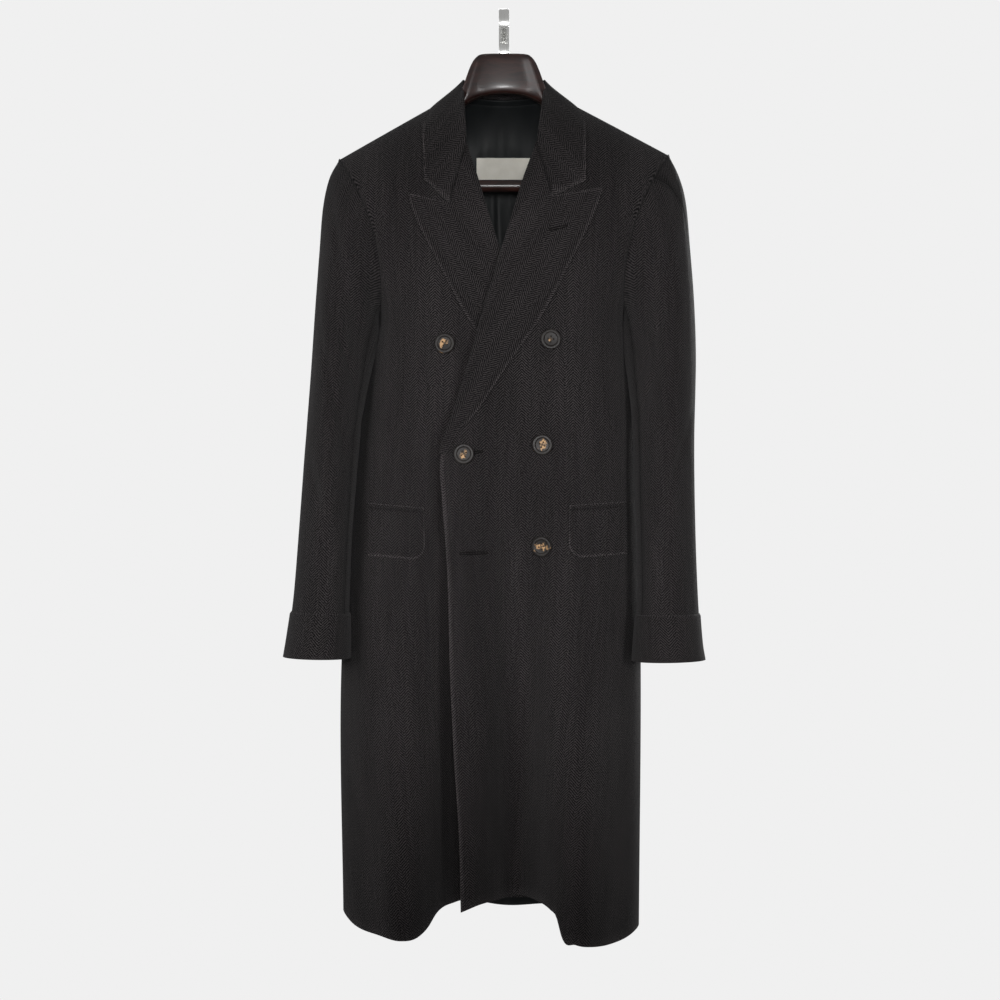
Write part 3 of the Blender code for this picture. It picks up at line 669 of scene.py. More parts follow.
class NodeDesk:
    """Short calls to add and join shader nodes in one tree."""

    def __init__(self, tree: bpy.types.NodeTree) -> None:
        """Keep the tree and its surface shader, if it has one."""
        self.tree = tree
        self.shader = tree.nodes.get("Principled BSDF")

    def put(self, socket: Socket, value: object) -> None:
        """Join a socket or set a value on an input.

        Args:
            socket: The input.
            value: Socket or value.
        """
        if isinstance(value, Socket):
            self.tree.links.new(value, socket)
        else:
            socket.default_value = value

    def add(self, kind: str, settings: dict | None = None, **inputs: object) -> bpy.types.Node:
        """Add a node.

        Args:
            kind: Type name of the node.
            settings: Properties to set on it.
            inputs: Values or sockets by input name, with underscores for spaces.

        Returns:
            The new node.
        """
        node = self.tree.nodes.new(kind)
        for name, value in (settings or {}).items():
            setattr(node, name, value)
        for name, value in inputs.items():
            self.put(node.inputs[name.replace("_", " ")], value)
        return node

    def math(self, operation: str, *values: object) -> Socket:
        """Work out numbers with a math node.

        Args:
            operation: What the node works out.
            values: Sockets or numbers.

        Returns:
            The result.
        """
        node = self.add("ShaderNodeMath", {"operation": operation})
        for socket, value in zip(node.inputs, values):
            self.put(socket, value)
        return node.outputs[0]

    def noise(self, vector: object, scale: object, detail: float = 2.0, rough: float = 0.5) -> Socket:
        """Soft noise between 0 and 1."""
        node = self.add("ShaderNodeTexNoise", Vector=vector, Scale=scale, Detail=detail, Roughness=rough)
        return node.outputs["Fac"]

    def stretch(self, vector: object, scale: tuple[float, float, float]) -> Socket:
        """Scale coordinates along each axis."""
        node = self.add("ShaderNodeMapping", Vector=vector, Scale=scale)
        return node.outputs["Vector"]

    def remap(self, value: object, low: float, high: float, to_low: float, to_high: float) -> Socket:
        """Move a range of values softly to another range.

        Args:
            value: Socket or value.
            low: Start of the range.
            high: End of the range.
            to_low: What the start becomes.
            to_high: What the end becomes.

        Returns:
            The result.
        """
        node = self.add("ShaderNodeMapRange", {"interpolation_type": "SMOOTHSTEP"}, Value=value)
        for name, number in zip(("From Min", "From Max", "To Min", "To Max"), (low, high, to_low, to_high)):
            node.inputs[name].default_value = number
        return node.outputs["Result"]

    def mix(self, share: object, first: object, second: object, blend: str = "MIX") -> Socket:
        """Mix two colours.

        Args:
            share: Share of the second.
            first: First colour.
            second: Second colour.
            blend: How they mix.

        Returns:
            The mixed colour.
        """
        node = self.add("ShaderNodeMix", {"data_type": "RGBA", "blend_type": blend})
        self.put(node.inputs[0], share)
        self.put(node.inputs[6], first)
        self.put(node.inputs[7], second)
        return node.outputs[2]

    def attribute(self, name: str) -> Socket:
        """A value that the mesh holds at its points."""
        return self.add("ShaderNodeAttribute", {"attribute_name": name}).outputs["Fac"]

    def ribs(self, vector: object, direction: str, scale: float) -> Socket:
        """Even ribs across a direction."""
        node = self.add("ShaderNodeTexWave", {"bands_direction": direction}, Vector=vector, Scale=scale)
        return node.outputs["Fac"]

    def object_coords(self) -> Socket:
        """Coordinates of the object itself."""
        return self.add("ShaderNodeTexCoord").outputs["Object"]

    def cloth_coords(self) -> Socket:
        """Coordinates along the cloth's grain, in metres."""
        return self.add("ShaderNodeUVMap", {"uv_map": CLOTH_UV}).outputs["UV"]

    def surface(self, **inputs: object) -> None:
        """Set inputs of the surface shader, with underscores for spaces."""
        for name, value in inputs.items():
            self.put(self.shader.inputs[name.replace("_", " ")], value)

    def bump(self, height: object, distance: float, strength: float = 1.0) -> None:
        """Raise the surface by a height."""
        node = self.add("ShaderNodeBump", Height=height, Distance=distance, Strength=strength)
        self.put(self.shader.inputs["Normal"], node.outputs["Normal"])


@dataclass(frozen=True)
class HerringboneWeave:
    """Node group for a broken twill whose slant turns from column to column."""

    name: str = "herringbone_weave"
    waver: float = 0.0022
    fibre: tuple[float, float, float] = (430.0, 800.0, 1.0)
    fibre_share: float = 6.4
    wave_share: float = 0.8
    dark_below: float = -0.55
    light_above: float = 0.85

    def group(self) -> bpy.types.NodeTree:
        """The node group, made on the first call."""
        found = bpy.data.node_groups.get(self.name)
        return found or self.make()

    def make(self) -> bpy.types.NodeTree:
        """Lay out the group's sockets and nodes.

        Returns:
            The node group.
        """
        tree = bpy.data.node_groups.new(self.name, "ShaderNodeTree")
        face = tree.interface
        face.new_socket("Cloth", in_out="INPUT", socket_type="NodeSocketVector")
        face.new_socket("Column", in_out="INPUT", socket_type="NodeSocketFloat")
        face.new_socket("Pitch", in_out="INPUT", socket_type="NodeSocketFloat")
        face.new_socket("Thread", in_out="OUTPUT", socket_type="NodeSocketFloat")
        face.new_socket("Height", in_out="OUTPUT", socket_type="NodeSocketFloat")
        desk = NodeDesk(tree)
        given = desk.add("NodeGroupInput").outputs
        split = desk.add("ShaderNodeSeparateXYZ", Vector=given["Cloth"]).outputs
        waver = desk.math("MULTIPLY_ADD", desk.noise(given["Cloth"], 120.0), self.waver, -self.waver / 2)
        across = desk.math("ADD", split["X"], waver)
        column = desk.math("DIVIDE", across, given["Column"])
        pair = desk.math("MULTIPLY", desk.math("FLOOR", column), 0.5)
        odd = desk.math("MULTIPLY", desk.math("FRACT", pair), 2.0)
        slant = desk.math("MULTIPLY_ADD", odd, -2.0, 1.0)
        run = desk.math("MULTIPLY_ADD", across, slant, split["Y"])
        twill = desk.math("MULTIPLY_ADD", odd, 0.5, desk.math("DIVIDE", run, given["Pitch"]))
        wave = desk.math("SINE", desk.math("MULTIPLY", twill, 2.0 * math.pi))
        fibre = desk.noise(desk.stretch(given["Cloth"], self.fibre), 1.0, 3.0, 0.7)
        wave = desk.math("MULTIPLY_ADD", wave, self.wave_share, -self.fibre_share / 2)
        rough_wave = desk.math("MULTIPLY_ADD", fibre, self.fibre_share, wave)
        thread = desk.remap(rough_wave, self.dark_below, self.light_above, 0.0, 1.0)
        leave = desk.add("NodeGroupOutput")
        desk.put(leave.inputs["Thread"], thread)
        desk.put(leave.inputs["Height"], desk.math("MULTIPLY_ADD", fibre, 0.5, thread))
        return tree


@dataclass(frozen=True)
class Wool(Finish):
    """Charcoal herringbone with lighter threads and a soft nap."""

    name: str = "wool_herringbone"
    dark: Colour = (0.0016, 0.0014, 0.0016, 1.0)
    light: Colour = (0.0360, 0.0318, 0.0324, 1.0)
    column: float = 0.0115
    pitch: float = 0.0037
    sheen: float = 0.05

    def dress(self, desk: NodeDesk) -> None:
        """Colour the threads, mottle the cloth softly in upright bands that partly paint the shade of
        hanging folds, add the painted edge highlight and seam shade, and raise the weave.

        Args:
            desk: Nodes of the material.
        """
        cloth = desk.cloth_coords()
        weave = desk.add("ShaderNodeGroup", {"node_tree": HerringboneWeave().group()})
        for name, value in (("Cloth", cloth), ("Column", self.column), ("Pitch", self.pitch)):
            desk.put(weave.inputs[name], value)
        threads = desk.mix(weave.outputs["Thread"], self.dark, self.light)
        # Random upright mottling; its broad light and dark bands also stand in for the shade of the hanging
        # folds, so they are partly painted shade.
        patch = desk.noise(desk.stretch(cloth, (15.0, 2.5, 1.0)), 1.0, 3.0)
        patch = desk.remap(patch, 0.3, 0.7, 0.76, 1.16)
        streak = desk.noise(desk.stretch(cloth, (260.0, 14.0, 1.0)), 1.0)
        streak = desk.remap(streak, 0.25, 0.75, 0.84, 1.14)
        # Painted highlight along free edges and painted shade along seams, read from the mesh attribute.
        edge = desk.math("ADD", desk.attribute(PAINTED_EDGE_SHADING), 1.0)
        shade = desk.math("MULTIPLY", desk.math("MULTIPLY", patch, streak), edge)
        tint = desk.add("ShaderNodeCombineColor", Red=shade, Green=shade, Blue=shade).outputs["Color"]
        desk.surface(
            Base_Color=desk.mix(1.0, threads, tint, "MULTIPLY"),
            Roughness=0.92,
            Specular_IOR_Level=0.06,
            Sheen_Weight=self.sheen,
            Sheen_Roughness=0.6,
        )
        desk.bump(weave.outputs["Height"], 0.00022)


@dataclass(frozen=True)
class Satin(Finish):
    """Dark blue-grey lining with a fine rib and a soft shine."""

    name: str = "satin_lining"
    dark: Colour = (0.0025, 0.0034, 0.0038, 1.0)
    light: Colour = (0.0055, 0.0068, 0.0074, 1.0)

    def dress(self, desk: NodeDesk) -> None:
        """Streak the colour along the folds with painted sheen and painted shade, and raise a fine rib.

        Args:
            desk: Nodes of the material.
        """
        cloth = desk.cloth_coords()
        # Upright streaks of lighter and darker colour: painted sheen and shade of the lining's folds.
        streak = desk.noise(desk.stretch(cloth, (60.0, 5.0, 1.0)), 1.0, 3.0)
        rib = desk.noise(desk.stretch(cloth, (2200.0, 200.0, 1.0)), 1.0, 2.0)
        desk.surface(
            Base_Color=desk.mix(streak, self.dark, self.light),
            Roughness=desk.remap(streak, 0.3, 0.7, 0.52, 0.64),
            Specular_IOR_Level=0.22,
            Sheen_Weight=0.03,
        )
        desk.bump(rib, 0.00006, 0.5)


@dataclass(frozen=True)
class LabelCloth(Finish):
    """Cream woven tape."""

    name: str = "label_weave"
    dark: Colour = (0.72, 0.69, 0.60, 1.0)
    light: Colour = (0.9, 0.87, 0.79, 1.0)

    def dress(self, desk: NodeDesk) -> None:
        """Cross two fine ribs and mottle the cream.

        Args:
            desk: Nodes of the material.
        """
        cloth = desk.cloth_coords()
        height = desk.math("MULTIPLY", desk.ribs(cloth, "X", 420.0), desk.ribs(cloth, "Y", 520.0))
        share = desk.math("MULTIPLY_ADD", height, 0.35, desk.noise(cloth, 70.0, 3.0))
        desk.surface(Base_Color=desk.mix(share, self.dark, self.light), Roughness=0.75, Sheen_Weight=0.08)
        desk.bump(height, 0.0001)


@dataclass(frozen=True)
class Horn(Finish):
    """Dark polished horn with tan streaks."""

    name: str = "polished_horn"
    dark: Colour = (0.007, 0.0055, 0.005, 1.0)
    grey: Colour = (0.017, 0.0145, 0.013, 1.0)
    tan: Colour = (0.42, 0.25, 0.12, 1.0)

    def dress(self, desk: NodeDesk) -> None:
        """Cloud the dark horn and break tan streaks through it, most of them at its heart.

        Args:
            desk: Nodes of the material.
        """
        place = desk.object_coords()
        cloud = desk.noise(place, 90.0, 4.0)
        base = desk.mix(desk.remap(cloud, 0.4, 0.75, 0.0, 1.0), self.dark, self.grey)
        vein = desk.noise(desk.stretch(place, (75.0, 75.0, 62.0)), 1.0, 4.0, 0.62)
        vein = desk.math("MULTIPLY_ADD", desk.attribute(HEART), 0.26, vein)
        streak = desk.remap(vein, 0.62, 0.7, 0.0, 0.9)
        desk.surface(
            Base_Color=desk.mix(streak, base, self.tan),
            Roughness=desk.remap(cloud, 0.3, 0.7, 0.38, 0.5),
            Specular_IOR_Level=0.2,
        )
        desk.bump(cloud, 0.00008, 0.4)


@dataclass(frozen=True)
class Lacquer(Finish):
    """Dark red-brown lacquered wood."""

    name: str = "lacquered_wood"
    dark: Colour = (0.0075, 0.0028, 0.0024, 1.0)
    light: Colour = (0.032, 0.0095, 0.0068, 1.0)

    def dress(self, desk: NodeDesk) -> None:
        """Draw the grain along the hanger and coat it with lacquer.

        Args:
            desk: Nodes of the material.
        """
        place = desk.object_coords()
        bend = desk.math("MULTIPLY_ADD", desk.noise(place, 14.0), 0.1, 0.95)
        grain = desk.noise(desk.stretch(place, (18.0, 150.0, 150.0)), bend, 5.0, 0.65)
        pore = desk.noise(desk.stretch(place, (90.0, 1100.0, 1100.0)), 1.0)
        pore = desk.remap(pore, 0.3, 0.6, 0.6, 1.0)
        tone = desk.math("MULTIPLY", desk.remap(grain, 0.3, 0.7, 0.0, 1.0), pore)
        desk.surface(
            Base_Color=desk.mix(tone, self.dark, self.light),
            Roughness=desk.remap(grain, 0.3, 0.7, 0.34, 0.44),
            Specular_IOR_Level=0.35,
            Coat_Weight=0.3,
            Coat_Roughness=0.2,
        )
        desk.bump(grain, 0.00008, 0.35)


@dataclass(frozen=True)
class Chrome(Finish):
    """Plated steel with faint drawing lines."""

    name: str = "plated_steel"
    dark: Colour = (0.72, 0.72, 0.71, 1.0)
    light: Colour = (0.9, 0.9, 0.88, 1.0)

    def dress(self, desk: NodeDesk) -> None:
        """Vary the shine along the strap.

        Args:
            desk: Nodes of the material.
        """
        line = desk.noise(desk.stretch(desk.object_coords(), (1600.0, 40.0, 40.0)), 1.0, 2.0)
        desk.surface(
            Base_Color=desk.mix(line, self.dark, self.light),
            Metallic=1.0,
            Roughness=desk.remap(line, 0.3, 0.7, 0.2, 0.28),
        )


@dataclass(frozen=True)
class Thread(Finish):
    """Twisted sewing thread."""

    name: str = "sewing_thread"
    dark: Colour = (0.0022, 0.002, 0.002, 1.0)
    light: Colour = (0.008, 0.0074, 0.007, 1.0)

    def dress(self, desk: NodeDesk) -> None:
        """Mottle the thread at the size of its twist.

        Args:
            desk: Nodes of the material.
        """
        twist = desk.noise(desk.object_coords(), 1500.0, 2.0)
        shade = desk.mix(twist, self.dark, self.light)
        desk.surface(Base_Color=shade, Roughness=0.9, Specular_IOR_Level=0.05)
        desk.bump(twist, 0.0001, 0.5)


@dataclass(frozen=True)
class PaleThread(Thread):
    """Tan button thread."""

    name: str = "button_thread"
    dark: Colour = (0.05, 0.038, 0.027, 1.0)
    light: Colour = (0.13, 0.1, 0.075, 1.0)

@dataclass(frozen=True)
class GlowingFloorPaint(Finish):
    """Matt pale floor paint that also glows faintly, as painted light."""

    name: str = "pale_floor"
    dark: Colour = (0.72, 0.72, 0.72, 1.0)
    light: Colour = (0.8, 0.8, 0.8, 1.0)

    def dress(self, desk: NodeDesk) -> None:
        """Mottle the paint very softly and make it glow faintly, as painted light.

        Args:
            desk: Nodes of the material.
        """
        patch = desk.noise(desk.object_coords(), 3.0, 4.0)
        paint = desk.mix(patch, self.dark, self.light)
        # The emission is painted light: the floor glows faintly as a fill from below.
        desk.surface(Base_Color=paint, Roughness=0.8, Emission_Color=paint, Emission_Strength=0.12)

WOOL = Wool()
SATIN = Satin()


def arc(points: Array, axis: int, parts: tuple[int, ...] = (0, 1, 2)) -> Array:
    """Distance along a grid's rows or columns, counted in some coordinates, in metres.

    Args:
        points: The grid.
        axis: Axis to go along.
        parts: The coordinates that count.

    Returns:
        The distances.
    """
    steps = np.linalg.norm(np.diff(points[..., parts], axis=axis), axis=-1)
    lead = np.zeros_like(np.take(steps, [0], axis=axis))
    return np.concatenate([lead, np.cumsum(steps, axis=axis)], axis=axis) * MM


def edge_tones(
    shape: tuple[int, int],
    first_row: Array | float = 0.0,
    last_row: Array | float = 0.0,
    first_column: Array | float = 0.0,
    last_column: Array | float = 0.0,
) -> Array:
    """Painted highlight on a grid's borders, with painted shade (less than nothing) at seams.

    Args:
        shape: Rows and columns of the grid.
        first_row: Tone of the first row.
        last_row: Tone of the last row.
        first_column: Tone of the first column.
        last_column: Tone of the last column.

    Returns:
        One tone for each point.
    """
    tones = np.zeros(shape)
    for depth, share in ((1, INNER_TONE), (0, 1.0)):
        tones[depth] = share * first_row
        tones[-1 - depth] = share * last_row
        tones[:, depth] = share * first_column
        tones[:, -1 - depth] = share * last_column
    return tones


def upper_steps(count: int) -> Array:
    """Row places from armpit to shoulder, closer where the cloth rounds over."""
    return 1.0 - (1.0 - np.arange(1, count + 1) / count) ** 2


def notch_steps(count: int) -> Array:
    """Even places from 0 to 1 with one of them at the notch.

    Args:
        count: Number of steps.

    Returns:
        The places.
    """
    near = max(2, round(count * NOTCH_SHARE))
    far = np.linspace(NOTCH_SHARE, 1.0, count - near + 1)
    return np.concatenate([np.linspace(0.0, NOTCH_SHARE, near, endpoint=False), far])


def bent_end(
    first: Sequence[float], corner: Sequence[float], last: Sequence[float], share: Array
) -> list[Array]:
    """A line from first to last that turns at the notch.

    Args:
        first: Start of the line.
        corner: Where it turns.
        last: End of the line.
        share: Places along it, from 0 to 1.

    Returns:
        One array for each coordinate.
    """
    before = np.clip(share / NOTCH_SHARE, 0.0, 1.0)
    after = np.clip((share - NOTCH_SHARE) / (1.0 - NOTCH_SHARE), 0.0, 1.0)
    return [a + (b - a) * before + (c - b) * after for a, b, c in zip(first, corner, last)]


def notched_tones(columns: int, steps: int) -> Array:
    """Painted shade along an end as far as the notch, where it is sewn, and painted highlight beyond it,
    where it is free.
    """
    free = np.where(notch_steps(steps) < NOTCH_SHARE, SEAM_SHADE, FREE_EDGE_HIGHLIGHT)
    return np.pad(free, (columns - len(free), 0), "edge")


def upright_run(points: Array, share: float = 0.45) -> Array:
    """Height of a grid's points with a share of the extra length where it rounds over, in metres."""
    height = points[..., 2] * MM
    return height + share * (arc(points, 0, UPRIGHT) + height[:1] - height)


def unit(vectors: Array) -> Array:
    """Vectors scaled to length 1."""
    return vectors / np.maximum(np.linalg.norm(vectors, axis=-1, keepdims=True), 1e-9)


def rolled(points: Array, radius: Array, turned: bool, steps: int = 7) -> Array:
    """Carry a sheet back under itself in a half round at its first column.

    Args:
        points: Grid of the sheet.
        radius: Radius of the roll at each row.
        turned: Whether the sheet's faces are turned over.
        steps: Columns added for the roll.

    Returns:
        The grid with the roll in front of it.
    """
    out = unit(points[:, 1] - points[:, 0])
    facing = unit(np.cross(out, np.gradient(points[:, 0], axis=0))) * (-1.0 if turned else 1.0)
    swing = np.linspace(math.pi, 0.0, steps, endpoint=False)[None, :, None]
    size = np.asarray(radius, float)[:, None, None]
    roll = -out[:, None] * size * np.sin(swing) - facing[:, None] * size * (1.0 - np.cos(swing))
    return np.concatenate([points[:, :1] + roll, points], axis=1)


def select_only(obj: Piece) -> None:
    """Make one object the selected and active one.

    Args:
        obj: The object.
    """
    bpy.ops.object.select_all(action="DESELECT")
    obj.select_set(True)
    bpy.context.view_layer.objects.active = obj


def apply_modifiers(obj: Piece) -> None:
    """Apply every modifier of an object in turn.

    Args:
        obj: The object.
    """
    select_only(obj)
    for modifier in list(obj.modifiers):
        bpy.ops.object.modifier_apply(modifier=modifier.name)


def register(obj: Piece, slot: Slot, *nodes: str) -> None:
    """Let a piece ride on the part's body.

    Args:
        obj: The piece.
        slot: Its material slot; not used.
        nodes: Nodes of the solids that it replaces.
    """
    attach(obj, BODY_NAME)
    if nodes:
        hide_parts(*nodes)
    log.info("%s: %d faces", obj.name, len(obj.data.polygons))


@dataclass
class Sheet:
    """A cloth piece: a grid of outer points that becomes a thin shell with soft rims."""

    node: str
    points: Array
    cloth: Array
    flat: Cut
    area: float
    rests_on: tuple[str, ...] = ("hanger_body",)
    finish: Finish = WOOL
    slot: Slot = Slot.WOOL
    turned: bool = False
    closed: bool = False
    lined: bool = False
    wall: float = 1.6
    rim: float = 0.45
    # Painted highlight (above zero) and painted shade (below zero) at each point, kept as a mesh attribute.
    tones: Array | None = None

    def shell(self) -> bpy.types.Mesh:
        """The outer surface as a mesh with the cloth's grain as its map.

        Returns:
            The mesh.
        """
        rows, columns = self.points.shape[:2]
        index = np.arange(rows * columns).reshape(rows, columns)
        if self.closed:
            index = np.concatenate([index, index[:, :1]], axis=1)
        corners = [(slice(None, -1), slice(None, -1)), (slice(None, -1), slice(1, None))]
        corners += [(slice(1, None), slice(1, None)), (slice(1, None), slice(None, -1))]
        faces = np.stack([index[corner] for corner in corners], axis=-1).reshape(-1, 4)
        places = np.stack([self.cloth[corner] for corner in corners], axis=2).reshape(-1, 4, 2)
        if self.turned:
            faces = faces[:, ::-1]
            places = places[:, ::-1]
        mesh = bpy.data.meshes.new(self.node + "_cloth")
        mesh.from_pydata((self.points.reshape(-1, 3) * MM).tolist(), [], faces.tolist())
        layer = mesh.uv_layers.new(name=CLOTH_UV)
        layer.data.foreach_set("uv", np.ascontiguousarray(places).ravel())
        # Store the painted edge highlight and seam shade on the points.
        tones = np.zeros((rows, columns)) if self.tones is None else self.tones
        mesh.attributes.new(PAINTED_EDGE_SHADING, "FLOAT", "POINT").data.foreach_set("value", tones.ravel())
        mesh.materials.append(self.finish.material())
        if self.lined:
            mesh.materials.append(SATIN.material())
        return mesh

    def build(self) -> None:
        """Thicken the surface inwards, round its rims and hand the piece over."""
        mesh = self.shell()
        obj = bpy.data.objects.new(mesh.name, mesh)
        bpy.context.scene.collection.objects.link(obj)
        thicken = obj.modifiers.new("wall", "SOLIDIFY")
        thicken.thickness = self.wall * MM
        thicken.offset = -1.0
        thicken.material_offset = 1 if self.lined else 0
        soften = obj.modifiers.new("rim", "BEVEL")
        soften.width = self.rim * MM
        soften.segments = 2
        soften.limit_method = "ANGLE"
        soften.angle_limit = math.radians(55.0)
        apply_modifiers(obj)
        bpy.ops.object.shade_smooth()
        register(obj, self.slot, self.node)
        list(self.rests_on)
        half_area = sum(face.area for face in obj.data.polygons) / 2
        log.info("%s: cloth %.4f of a cut of %.4f square metres", obj.name, half_area, self.area)


@dataclass
class FrontPanel:
    """One front, from its edge to the side seam and from hem to shoulder."""

    side: SideForm
    flat: Cut
    area: float
    lower_rows: int = 112
    upper_rows: int = 56
    columns: int = 108
    crowding: float = 0.45
    shoulder_gap: float = 0.2
    side_gap: float = 0.2

    def points(self) -> Array:
        """Grid of the front's outer surface.

        Returns:
            The grid.
        """
        side = self.side
        armpit = side.sleeve[0]
        hem_edge_z = side.edge[0].z
        hem_side_z = table_curve(side.hem, "x", "z", table_curve(BODY.rows, "z", side.name, hem_edge_z))
        lower = np.linspace(0.0, 1.0, self.lower_rows + 1)
        upper = upper_steps(self.upper_rows)
        edge_z = np.concatenate([
            hem_edge_z + (armpit.in_z - hem_edge_z) * lower,
            armpit.in_z + (BODY.neck_z - armpit.in_z) * upper,
        ])
        edge_x = side.sign * table_curve(side.edge, "z", "x", edge_z)
        seam_z = hem_side_z + (armpit.in_z - hem_side_z) * lower
        ring = BODY.armhole(side, math.pi * (1.0 - upper))
        outer_z = np.concatenate([seam_z, ring[:, 2]])
        outer_x = np.concatenate([table_curve(BODY.rows, "z", side.name, seam_z), ring[:, 0]])
        even = np.linspace(0.0, 1.0, self.columns + 1)
        across = (1 - self.crowding) * even + self.crowding * np.sin(even * math.pi / 2)
        x = edge_x[:, None] + (outer_x - edge_x)[:, None] * across
        z = edge_z[:, None] + (outer_z - edge_z)[:, None] * across
        hem_shift = table_curve(side.hem, "x", "z", x[0]) - z[0]
        share = np.concatenate([(1.0 - lower) ** 2, np.zeros(self.upper_rows)])
        z = z + share[:, None] * hem_shift
        rise = np.concatenate([np.zeros(self.lower_rows + 1), upper])
        z = z + rise[:, None] * (np.minimum(BODY.ridge(x[-1]), BODY.neck_z) - z[-1])
        y = BODY.front(x, z, side)
        y[-1] -= self.shoulder_gap
        y[: self.lower_rows + 1, -1] -= self.side_gap
        return stack(x, y, z)

    def grain(self, points: Array) -> Array:
        """Cloth coordinates with the grain upright, measured from the middle of the coat.

        Args:
            points: The grid.

        Returns:
            The cloth coordinates.
        """
        across = arc(points, 1, LEVEL)
        own = self.side.sign * points[..., 0] * MM
        start = np.array([np.interp(0.0, row, run) for row, run in zip(own, across)])
        start = start - np.maximum(own[:, 0], 0.0)
        return np.stack([across - start[:, None], upright_run(points)], axis=-1)

    def build(self) -> None:
        """Make the front."""
        points = self.points()
        # Painted highlight along the hem and the front edge below the roll line, painted shade along the
        # shoulder and side seams.
        below_roll = np.where(points[:, 0, 2] < ROLL_END_Z, FREE_EDGE_HIGHLIGHT, 0.0)
        tones = edge_tones(points.shape[:2], FREE_EDGE_HIGHLIGHT / 2, SEAM_SHADE, below_roll, SEAM_SHADE)
        Sheet(
            "front_" + self.side.name, points, self.grain(points), self.flat, self.area,
            turned=self.side.right, lined=True, tones=tones,
        ).build()


@dataclass
class BackPanel:
    """The back, from the right side seam to the left and from hem to neck."""

    flat: Cut = (0.52, 1.13)
    area: float = 0.5
    lower_rows: int = 112
    upper_rows: int = 48
    third: int = 48
    turning: float = 5.0
    crowding: float = 1.6
    shoulder_gap: float = 0.2
    side_gap: float = 0.2

    def points(self) -> Array:
        """Grid of the back's outer surface.

        Returns:
            The grid.
        """
        neck = BODY.neck_x / BODY.tip_x
        wing = 1.0 - (1.0 - neck) * (1.0 - np.linspace(0.0, 1.0, self.third + 1)) ** self.crowding
        middle = np.linspace(-neck, neck, self.third, endpoint=False)
        share = (np.concatenate([-wing[:0:-1], middle, wing]) + 1.0) / 2
        lower = np.linspace(0.0, 1.0, self.lower_rows + 1)
        upper = upper_steps(self.upper_rows)
        sides_x = []
        sides_z = []
        for side in SIDES:
            end = side.hem[0] if side.right else side.hem[-1]
            seam_z = end.z + (side.sleeve[0].in_z - end.z) * lower
            ring = BODY.armhole(side, math.pi * (1.0 + upper))
            sides_x.append(np.concatenate([table_curve(BODY.rows, "z", side.name, seam_z), ring[:, 0]]))
            sides_z.append(np.concatenate([seam_z, ring[:, 2]]))
        x = sides_x[0][:, None] * (1.0 - share) + sides_x[1][:, None] * share
        z = sides_z[0][:, None] * (1.0 - share) + sides_z[1][:, None] * share
        top = np.minimum(BODY.ridge(x[-1]), BODY.neck_z)
        rise = np.concatenate([np.zeros(self.lower_rows + 1), upper])
        z = z + rise[:, None] * (top - z[-1])
        y = BODY.back(x, z)
        y[-1] += self.shoulder_gap
        y[: self.lower_rows + 1, 0] += self.side_gap
        y[: self.lower_rows + 1, -1] += self.side_gap
        return stack(x, y, z)

    def tucked(self, points: Array) -> Array:
        """The grid with a narrow turning under the fronts at the side and shoulder seams.

        Args:
            points: Grid of the back.

        Returns:
            The wider grid.
        """
        turning = points[:, [0, -1]] - np.array([0.0, self.turning, 0.0])
        turning[..., 0] -= np.sign(turning[..., 0]) * self.turning
        wide = np.concatenate([turning[:, :1], points, turning[:, 1:]], axis=1)
        beside_neck = 0.1 + 0.9 * ease((np.abs(wide[-1:, :, 0]) - BODY.neck_x) / 12.0)
        under = wide[-1:] - beside_neck[..., None] * np.array([0.0, 0.6, 1.0]) * self.turning
        return np.concatenate([wide, under])

    def build(self) -> None:
        """Make the back with its grain upright from the middle."""
        points = self.points()
        across = arc(points, 1, LEVEL)
        start = np.array([np.interp(0.0, row, run) for row, run in zip(points[..., 0], across)])
        cloth = np.stack([across - start[:, None], upright_run(points)], axis=-1)
        cloth = np.pad(cloth, ((0, 1), (1, 1), (0, 0)), "edge")
        Sheet("back", self.tucked(points), cloth, self.flat, self.area, turned=True, lined=True).build()


